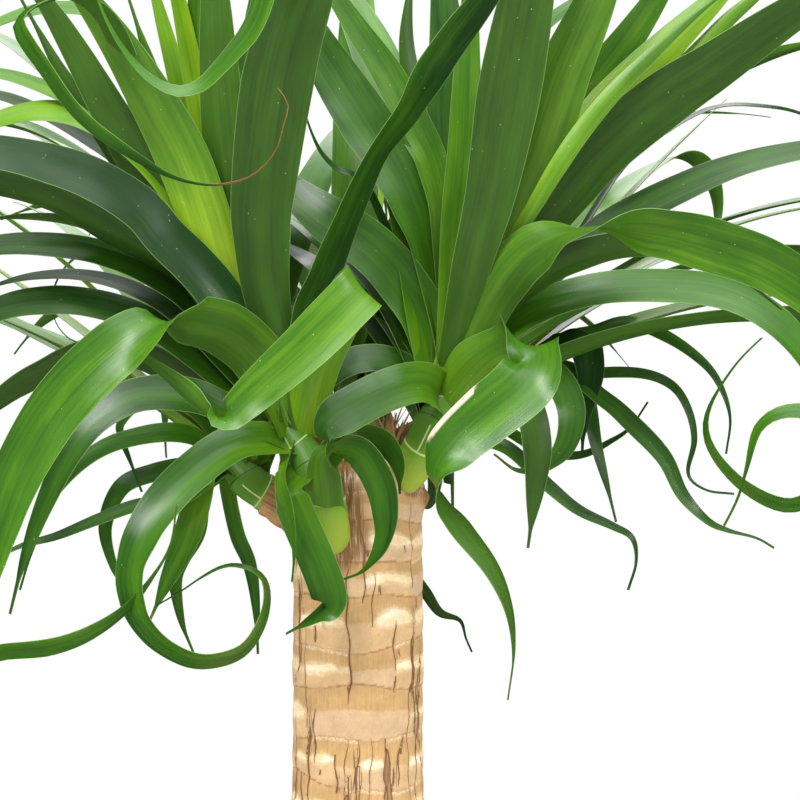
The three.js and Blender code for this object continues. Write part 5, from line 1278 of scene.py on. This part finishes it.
def bark_cracks(draw):
    """Lengthwise cracks: facing, middle, reach up and down, half width and sway of each."""
    cracks = []
    for _ in range(BARK["cracks"]):
        middle = mix(TRUNK["foot"], TRUNK["top"] + 10, draw())
        reach = mix(*BARK["crack_length"], draw() ** 2) / 2
        half = mix(*BARK["crack_width"], draw() ** 1.5)
        if draw() < BARK["wide"]:
            reach = mix(*BARK["wide_reach"], draw())
            half = mix(*BARK["wide_width"], draw())
        half *= 1 + 0.8 * below_neck(middle)
        cracks.append((draw() * FULL_TURN, middle, reach, half, draw() * FULL_TURN))
    return cracks


def crack_line(crack, height):
    """Which way a crack faces at each height."""
    facing, _, _, _, sway = crack
    aside = np.sin(height * 0.09 + sway) + 0.5 * np.sin(height * 0.34 + 2 * sway)
    return facing + aside / trunk_radius(height)


def mark_cracks(angle, height, cracks):
    """Signed distance to the nearest crack and its half width at each place, in millimetres."""
    off = np.full(angle.shape, FAR)
    width = np.zeros(angle.shape)
    for crack in cracks:
        _, middle, reach, half, sway = crack
        found = np.nonzero(np.abs(height[:, 0] - middle) < reach)[0]
        if len(found) == 0:
            continue
        rows = slice(found[0], found[-1] + 1)
        q = (height[rows] - middle) / reach
        turn = angle[rows] - crack_line(crack, height[rows]) + math.pi
        here = (turn % FULL_TURN - math.pi) * trunk_radius(height[rows])
        thick = half * np.sqrt(np.clip(1 - q * q, 0, 1)) * (1 + 0.25 * np.sin(5 * q + sway))
        nearer = (np.abs(here) < 4) & (np.abs(here) - thick < np.abs(off[rows]) - width[rows])
        off[rows] = np.where(nearer, here, off[rows])
        width[rows] = np.where(nearer, np.where(np.abs(here) < thick + 1, thick, 0), width[rows])
    return off, width


def band_breaks(cracks, middle, draw):
    """The cracks that part a band into plates, in order of their facing at its middle height."""
    found = []
    for crack in cracks:
        if abs(crack[1] - middle) < 0.85 * crack[2]:
            found.append((float(crack_line(crack, middle)) % FULL_TURN, crack))
    while len(found) < BARK["least_breaks"]:
        facing = draw() * FULL_TURN
        found.append((facing, (facing, middle, 20, 0.3, draw() * FULL_TURN)))
    found.sort(key=lambda item: item[0])
    least = BARK["least_plate"] / float(trunk_radius(middle))
    kept = [found[0]]
    for facing, crack in found[1:]:
        if facing - kept[-1][0] > least:
            kept.append((facing, crack))
    return kept


def bark_plates(angle, height, cracks, draw):
    """Numbers for each place of the bark: where it lies in its plate, and how the plate looks."""
    edges = bark_edges(angle[0], draw)
    band = np.sum(edges[None, :, :] < height[:, None, :], axis=1) - 1
    column = np.arange(angle.shape[1])[None, :]
    below, above = edges[band, column], edges[band + 1, column]
    tall = above - below
    level = (height - below) / tall
    tint, proud, middle = np.zeros((3, *angle.shape))
    cream, scar = np.full(angle.shape, -FAR), np.full(angle.shape, FAR)
    for i in range(len(edges) - 1):
        here = band == i
        centre = float(edges[i:i + 2].mean())
        breaks = band_breaks(cracks, centre, draw)
        shifts = [crack_line(crack, height[here]) - crack_line(crack, centre) for _, crack in breaks]
        lines = np.array([facing for facing, _ in breaks])[:, None] + np.array(shifts)
        which = np.sum(lines < angle[here], axis=0) % len(breaks)
        start = lines[which - 1, np.arange(lines.shape[1])]
        end = lines[which, np.arange(lines.shape[1])]
        span = (end - start) % FULL_TURN
        u = 2 * ((angle[here] - start) % FULL_TURN) / np.maximum(span, 1e-6) - 1
        u = np.clip(u, -1, 1)
        plates = np.array([[draw() for _ in range(7)] for _ in breaks])[which]
        hue, lift, split, slope, size, kind, blunt = plates.T
        tint[here] = hue
        proud[here] = lift - 0.5
        rise = (level[here] - mix(*BARK["split"], split)) * tall[here]
        rise = rise + 1.8 * (slope - 0.5) * u - 0.8 * (1 - u * u)
        thick = mix(*BARK["cream"], size) * tall[here] / BARK["usual_band"]
        thick = np.minimum(thick, BARK["flat"] * span * TRUNK["neck_radius"])
        reach = np.abs(u) / mix(0.6, 1.0, blunt)
        ends = np.where(kind < 0.5, 1 - reach ** 2, 1 - 0.5 * np.abs(u) ** 3)
        shown = np.where(kind < BARK["patched"], thick * np.sqrt(np.maximum(ends, 0)), -4.0)
        cream[here] = shown - np.abs(rise)
        middle[here] = rise
        top = (1 - level[here]) * tall[here]
        scar[here] = np.where(blunt < BARK["scarred"], top, -top)
    return level, tint, proud, cream, middle, scar


def trunk_mesh():
    """The whole trunk, with its bark in bands of plates, its cracks and the rough cut on top."""
    draw = mulberry(TRUNK["seed"])
    around = TRUNK["sides"]
    turns = np.arange(around) * FULL_TURN / around
    height, angle = np.meshgrid(ring_heights(), turns, indexing="ij")
    cracks = bark_cracks(draw)
    off, width = mark_cracks(angle, height, cracks)
    level, tint, proud, cream, middle, scar = bark_plates(angle, height, cracks, draw)
    swell = RELIEF["plate"] * np.sqrt(np.sin(math.pi * np.clip(level, 0.001, 0.999)))
    fibres = np.sin(angle * 61 + 3 * np.sin(height * 0.02)) * np.sin(angle * 23 + height * 0.03)
    relief = swell + RELIEF["foot"] * smoothstep(0.5, -0.5, middle)
    relief = relief + RELIEF["proud"] * proud + RELIEF["fibres"] * fibres
    relief *= 1 + 0.9 * below_neck(height)
    deep = np.minimum(RELIEF["deepest"], RELIEF["deep"] * width)
    valley = deep * np.exp(-(off / (width + 0.6)) ** 2)
    lump = callus_share(angle, height)
    bare = smoothstep(SOIL["level"] - 6, SOIL["level"] + 6, height)
    radius = trunk_radius(height) - 0.8 + bare * (relief - valley) + RELIEF["callus"] * lump
    slanted = np.maximum(0, (height - TRUNK["top"]) / TRUNK["slant_depth"] + 1)
    x, y = radius * np.cos(angle), radius * np.sin(angle)
    z = height - slanted * TRUNK["slant"] * (x + TRUNK["neck_radius"])
    wall = np.stack([x, y, z], axis=-1)
    shrink = np.linspace(0.985, 0.02, CUT["rows"])[:, None]
    rough = CUT["ridges"] * np.sin(angle[0] * 17 + shrink * 30)
    rough = rough + CUT["lumps"] * np.sin(angle[0] * 7 - shrink * 14)
    hollow = -CUT["hollow"] * np.sin(math.pi * shrink) + rough * smoothstep(0, 0.3, shrink)
    cut_x, cut_y = x[-1] * shrink, y[-1] * shrink
    cut_z = TRUNK["top"] - TRUNK["slant"] * (cut_x + TRUNK["neck_radius"]) + hollow
    cut = np.stack([cut_x, cut_y, cut_z], axis=-1)
    age = np.maximum(age_of(wall), 1.8 * lump)
    wall_layers = {
        "bark_place": layer_of(height.shape, angle * TRUNK["neck_radius"], height, tint),
        "bark_crack": layer_of(height.shape, off, width, age),
        "bark_zone": layer_of(height.shape, cream, middle, scar),
    }
    cut_layers = plain_bark(cut_x.shape, angle[:1] * np.hypot(cut_x, cut_y), cut_z, 0.5, CUT["age"])
    layers = {name: np.concatenate([wall_layers[name], cut_layers[name]]) for name in wall_layers}
    places = np.concatenate([wall, cut])
    rows = len(places)
    return places.reshape(-1, 3), grid_faces(rows, around), layers, end_caps(rows, around)


def callus_share(angle, height):
    """1 at the middle of the small dark lump under the right shoot, and 0 away from it."""
    facing, middle, reach = BARK["callus"]
    across = (angle - math.radians(facing) + math.pi) % FULL_TURN - math.pi
    far = np.hypot(across * TRUNK["neck_radius"], (height - middle) * 0.8)
    return np.exp(-(far / reach) ** 2 * 2)


def age_of(places):
    """How darkened the bark is, round the shoots and below the cut."""
    aged = smoothstep(TRUNK["top"] - 16, TRUNK["top"] - 2, places[..., 2]) * 0.7
    for name, shoot in SHOOTS.items():
        reach = BARK["aged"] if name == "front_left" else BARK["aged"] / 3
        for k in range(9):
            centre, _, radius = along(shoot, k / 12)
            gap = np.linalg.norm(places - centre - CROWN, axis=-1) - radius
            aged = np.maximum(aged, smoothstep(reach, 0.4 * reach, gap))
    return aged


# Pot and soil
def wall_radius(height):
    return mix(POT["foot_radius"], POT["rim_radius"], height / POT["height"]) - POT["wall"]


def turned(profile, sides):
    """Rows of places turned about the upright axis, one row for each (radius, height) point."""
    radii, heights = np.array(profile).T
    angle = round_angles(sides)
    return np.stack([
        radii[:, None] * np.cos(angle),
        radii[:, None] * np.sin(angle),
        np.broadcast_to(heights[:, None], (len(radii), sides)),
    ], axis=-1)


def ring_object(name, rings, material):
    """An object from rows of places that go round and close from the last row to the first."""
    return mesh_object(name, rings.reshape(-1, 3), grid_faces(*rings.shape[:2], closed=True), material)


def rounded(points, reach, steps=5):
    """A profile with each inner corner turned into a small arc that starts reach before it."""
    shown = [points[0]]
    for before, corner, after in zip(points, points[1:], points[2:]):
        before, corner, after = np.array(before), np.array(corner), np.array(after)
        back = min(reach, np.linalg.norm(before - corner) * 0.45)
        on = min(reach, np.linalg.norm(after - corner) * 0.45)
        start = corner + unit(before - corner) * back
        end = corner + unit(after - corner) * on
        for k in range(steps + 1):
            t = k / steps
            shown.append(tuple(start * (1 - t) ** 2 + corner * 2 * t * (1 - t) + end * t * t))
    shown.append(points[-1])
    return shown


def make_pot(material):
    """A plain clay pot with a thick collar, soft edges and faint turning rings."""
    height, floor, wall, hole = POT["height"], POT["floor"], POT["wall"], POT["hole_radius"]

    def outer(level):
        return wall_radius(level) + wall

    collar = height - POT["collar_height"]
    rim = outer(height) + POT["collar_step"]
    corners = [
        (hole, 0.0), (POT["foot_radius"], 0.0), (outer(collar) - 0.8, collar - 1.0),
        (rim - 1.5, collar), (rim, height), (wall_radius(height), height),
        (wall_radius(floor), floor), (hole, floor),
    ]
    soft = rounded(corners, POT["edge"])
    profile = []
    for (r0, z0), (r1, z1) in zip(soft, soft[1:]):
        pieces = max(1, math.ceil(math.hypot(r1 - r0, z1 - z0) / POT["step"]))
        profile += [(mix(r0, r1, k / pieces), mix(z0, z1, k / pieces)) for k in range(pieces)]
    profile.append(corners[-1])
    rings = turned(profile, POT["sides"])
    level = rings[..., 2]
    turning = np.sin(level * 1.05) * np.sin(level * 0.13 + 1) * smoothstep(3, 12, level)
    turning = POT["turning"] * turning / np.linalg.norm(rings[..., :2], axis=-1)
    rings[..., :2] *= (1 + turning)[..., None]
    return ring_object("pot_dressed", rings, material)


def soil_height(x, y):
    """The soil's level: low mounds, small bumps and a dip at the wall."""
    far = np.hypot(x, y)
    angle = np.arctan2(y, x)
    lumps = np.sin(3 * angle + 1.2) + np.sin(7 * angle + x / 9) + np.sin(11 * angle + y / 7)
    bumps = np.sin(x / 4.3) * np.sin(y / 5.1) + 0.5 * np.sin(x / 2.1 + 2) * np.sin(y / 1.9)
    mounds = SOIL["relief"] * lumps / 4 + 0.5 * bumps
    return SOIL["level"] - 1.0 + mounds - SOIL["dip"] * smoothstep(95, 114, far)


def make_soil(material):
    """The soil's body, from its uneven top down the wall to just above the pot's floor."""
    inner = float(trunk_radius(SOIL["level"])) - 3
    outer = wall_radius(SOIL["level"]) - 0.3
    angle = round_angles(SOIL["sides"])
    radius = np.linspace(inner, outer, SOIL["rings"])[:, None]
    x, y = radius * np.cos(angle), radius * np.sin(angle)
    top = np.stack([x, y, soil_height(x, y)], axis=-1)
    bottom = POT["floor"] + 1
    wall = [(outer, SOIL["level"] - 15), (wall_radius(bottom) - 1, bottom), (inner, bottom)]
    return ring_object("soil_dressed", np.concatenate([top, turned(wall, SOIL["sides"])]), material)


def rough_ball(sides, rows):
    """A small rounded lump of unit size, as rows of places from its foot to its top."""
    tilt = np.linspace(-0.46, 0.46, rows) * math.pi
    return turned(list(zip(np.cos(tilt), np.sin(tilt))), sides)


def make_crumbs(material):
    """Clods, bits of bark and pumice scattered over the soil."""
    draw = mulberry(SOIL["seed"])
    rows, sides = SOIL["crumb_rows"], SOIL["crumb_sides"]
    ball = rough_ball(sides, rows)
    inner, outer = float(trunk_radius(SOIL["level"])) + 3, wall_radius(SOIL["level"]) - 6
    places, faces, kinds, caps = [], [], [], []
    for i in range(SOIL["crumbs"]):
        far = math.sqrt(mix(inner ** 2, outer ** 2, draw()))
        angle = draw() * FULL_TURN
        kind = draw()
        size = mix(*SOIL["crumb_size"], draw() ** 2) * (1.35 if kind > 0.5 else 1)
        shape = np.array([1, mix(0.45, 0.9, draw()), mix(0.3, 0.7, draw())]) * size
        rough = 1 + 0.22 * np.sin(ball[..., :1] * 5 + draw() * 6)
        rough = rough + 0.2 * np.sin(ball[..., 1:2] * 6 + draw() * 6)
        turn = draw() * FULL_TURN
        lump = ball * rough * shape
        middle_x, middle_y = far * math.cos(angle), far * math.sin(angle)
        x = lump[..., 0] * math.cos(turn) - lump[..., 1] * math.sin(turn) + middle_x
        y = lump[..., 0] * math.sin(turn) + lump[..., 1] * math.cos(turn) + middle_y
        z = lump[..., 2] + soil_height(middle_x, middle_y) + shape[2] * 0.35
        start = i * rows * sides
        places.append(np.stack([x, y, z], axis=-1).reshape(-1, 3))
        faces.append(grid_faces(rows, sides) + start)
        caps += end_caps(rows, sides, start)
        kinds.append(np.full((rows * sides, 3), kind))
    layers = {"crumb": np.concatenate(kinds)}
    places, faces = np.concatenate(places), np.concatenate(faces)
    return mesh_object("soil_crumbs", places, faces, material, layers, caps=caps)


# Scene
def put(piece, slot, *nodes):
    """Fastens a piece to the plant's one body and hides the frame parts that it stands for; slot is not
    used.
    """
    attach(piece, "root")
    if nodes:
        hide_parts(*nodes)


def put_mesh(name, mesh, finish, sharp, slot, *nodes):
    """Makes an object from places, faces, layers and maybe end faces, and puts it in place."""
    places, faces, layers, *caps = mesh
    put(mesh_object(name, places, faces, finish, layers, sharp, *caps), slot, *nodes)


leaf_finish = leaf_material()
shoot_finish = shoot_material()
bark_finish = bark_material()

leaves = all_leaves()
for head in SHOOTS:
    blades = [blade_mesh(leaf, i) for i, leaf in enumerate(leaves) if leaf["head"] == head]
    put_mesh(f"leaves_{head}", joined(blades), leaf_finish, 55, "foliage", f"leaf_head_{head}")
    put_mesh(f"shoot_{head}", shoot_mesh(head), shoot_finish, 60, "foliage")
put_mesh("trunk_bark", trunk_mesh(), bark_finish, 70, "bark", "trunk")
for index, stub in enumerate(STUBS):
    put_mesh(f"trunk_stub_{index + 1}", stub_mesh(stub, index), bark_finish, 70, "bark")
put_mesh("trunk_dry_fibres", dry_fibres(mulberry(FIBRES["seed"])), bark_finish, 40, "bark")
put(make_pot(pot_material()), "pot_clay", "pot")
put(make_soil(soil_material()), "soil", "soil")
put(make_crumbs(crumb_material()), "soil")


# Stage
def make_floor():
    """A round pale floor under the pot, which lies below the photograph's frame."""
    shader = Shader("floor", Roughness=0.8, Base_Color=FLOOR["tone"])
    rim = turned([(FLOOR["radius"], FLOOR["level"])], FLOOR["sides"])[0]
    floor = mesh_object("floor", rim, [list(range(FLOOR["sides"]))], shader.material)
    floor.visible_glossy = False


def aim(thing, target):
    thing.rotation_mode = "QUATERNION"
    thing.rotation_quaternion = (Vector(target) - thing.location).to_track_quat("-Z", "Y")


def soft_light(name, place, target, size, power):
    light = bpy.data.lights.new(name, "AREA")
    light.shape = "DISK"
    light.size = size
    light.energy = power
    lamp = bpy.data.objects.new(name, light)
    lamp.location = place
    aim(lamp, target)
    bpy.context.scene.collection.objects.link(lamp)


def make_world(strength):
    world = bpy.data.worlds.new("studio")
    world.use_nodes = True
    background = world.node_tree.nodes["Background"]
    background.inputs["Color"].default_value = (1.0, 1.0, 1.0, 1.0)
    background.inputs["Strength"].default_value = strength
    world.cycles_visibility.glossy = False
    bpy.context.scene.world = world


def make_camera():
    """The eye point of the photograph, level with the crown and looking straight ahead."""
    lens = bpy.data.cameras.new("camera")
    lens.lens = LENS
    lens.sensor_width = SENSOR
    camera = bpy.data.objects.new("camera", lens)
    height = (CROWN_HEIGHT + EYE["up"]) * MM
    camera.location = (EYE["across"] * MM, -EYE["distance"] * MM, height)
    aim(camera, (EYE["across"] * MM, 0, height))
    bpy.context.scene.collection.objects.link(camera)
    bpy.context.scene.camera = camera


make_floor()
make_world(1.0)
for name, (place, size, power) in LIGHTS.items():
    soft_light(name, place, (0.0, 0.0, CROWN_HEIGHT * MM), size, power)
make_camera()
bpy.context.scene.view_settings.view_transform = "Standard"
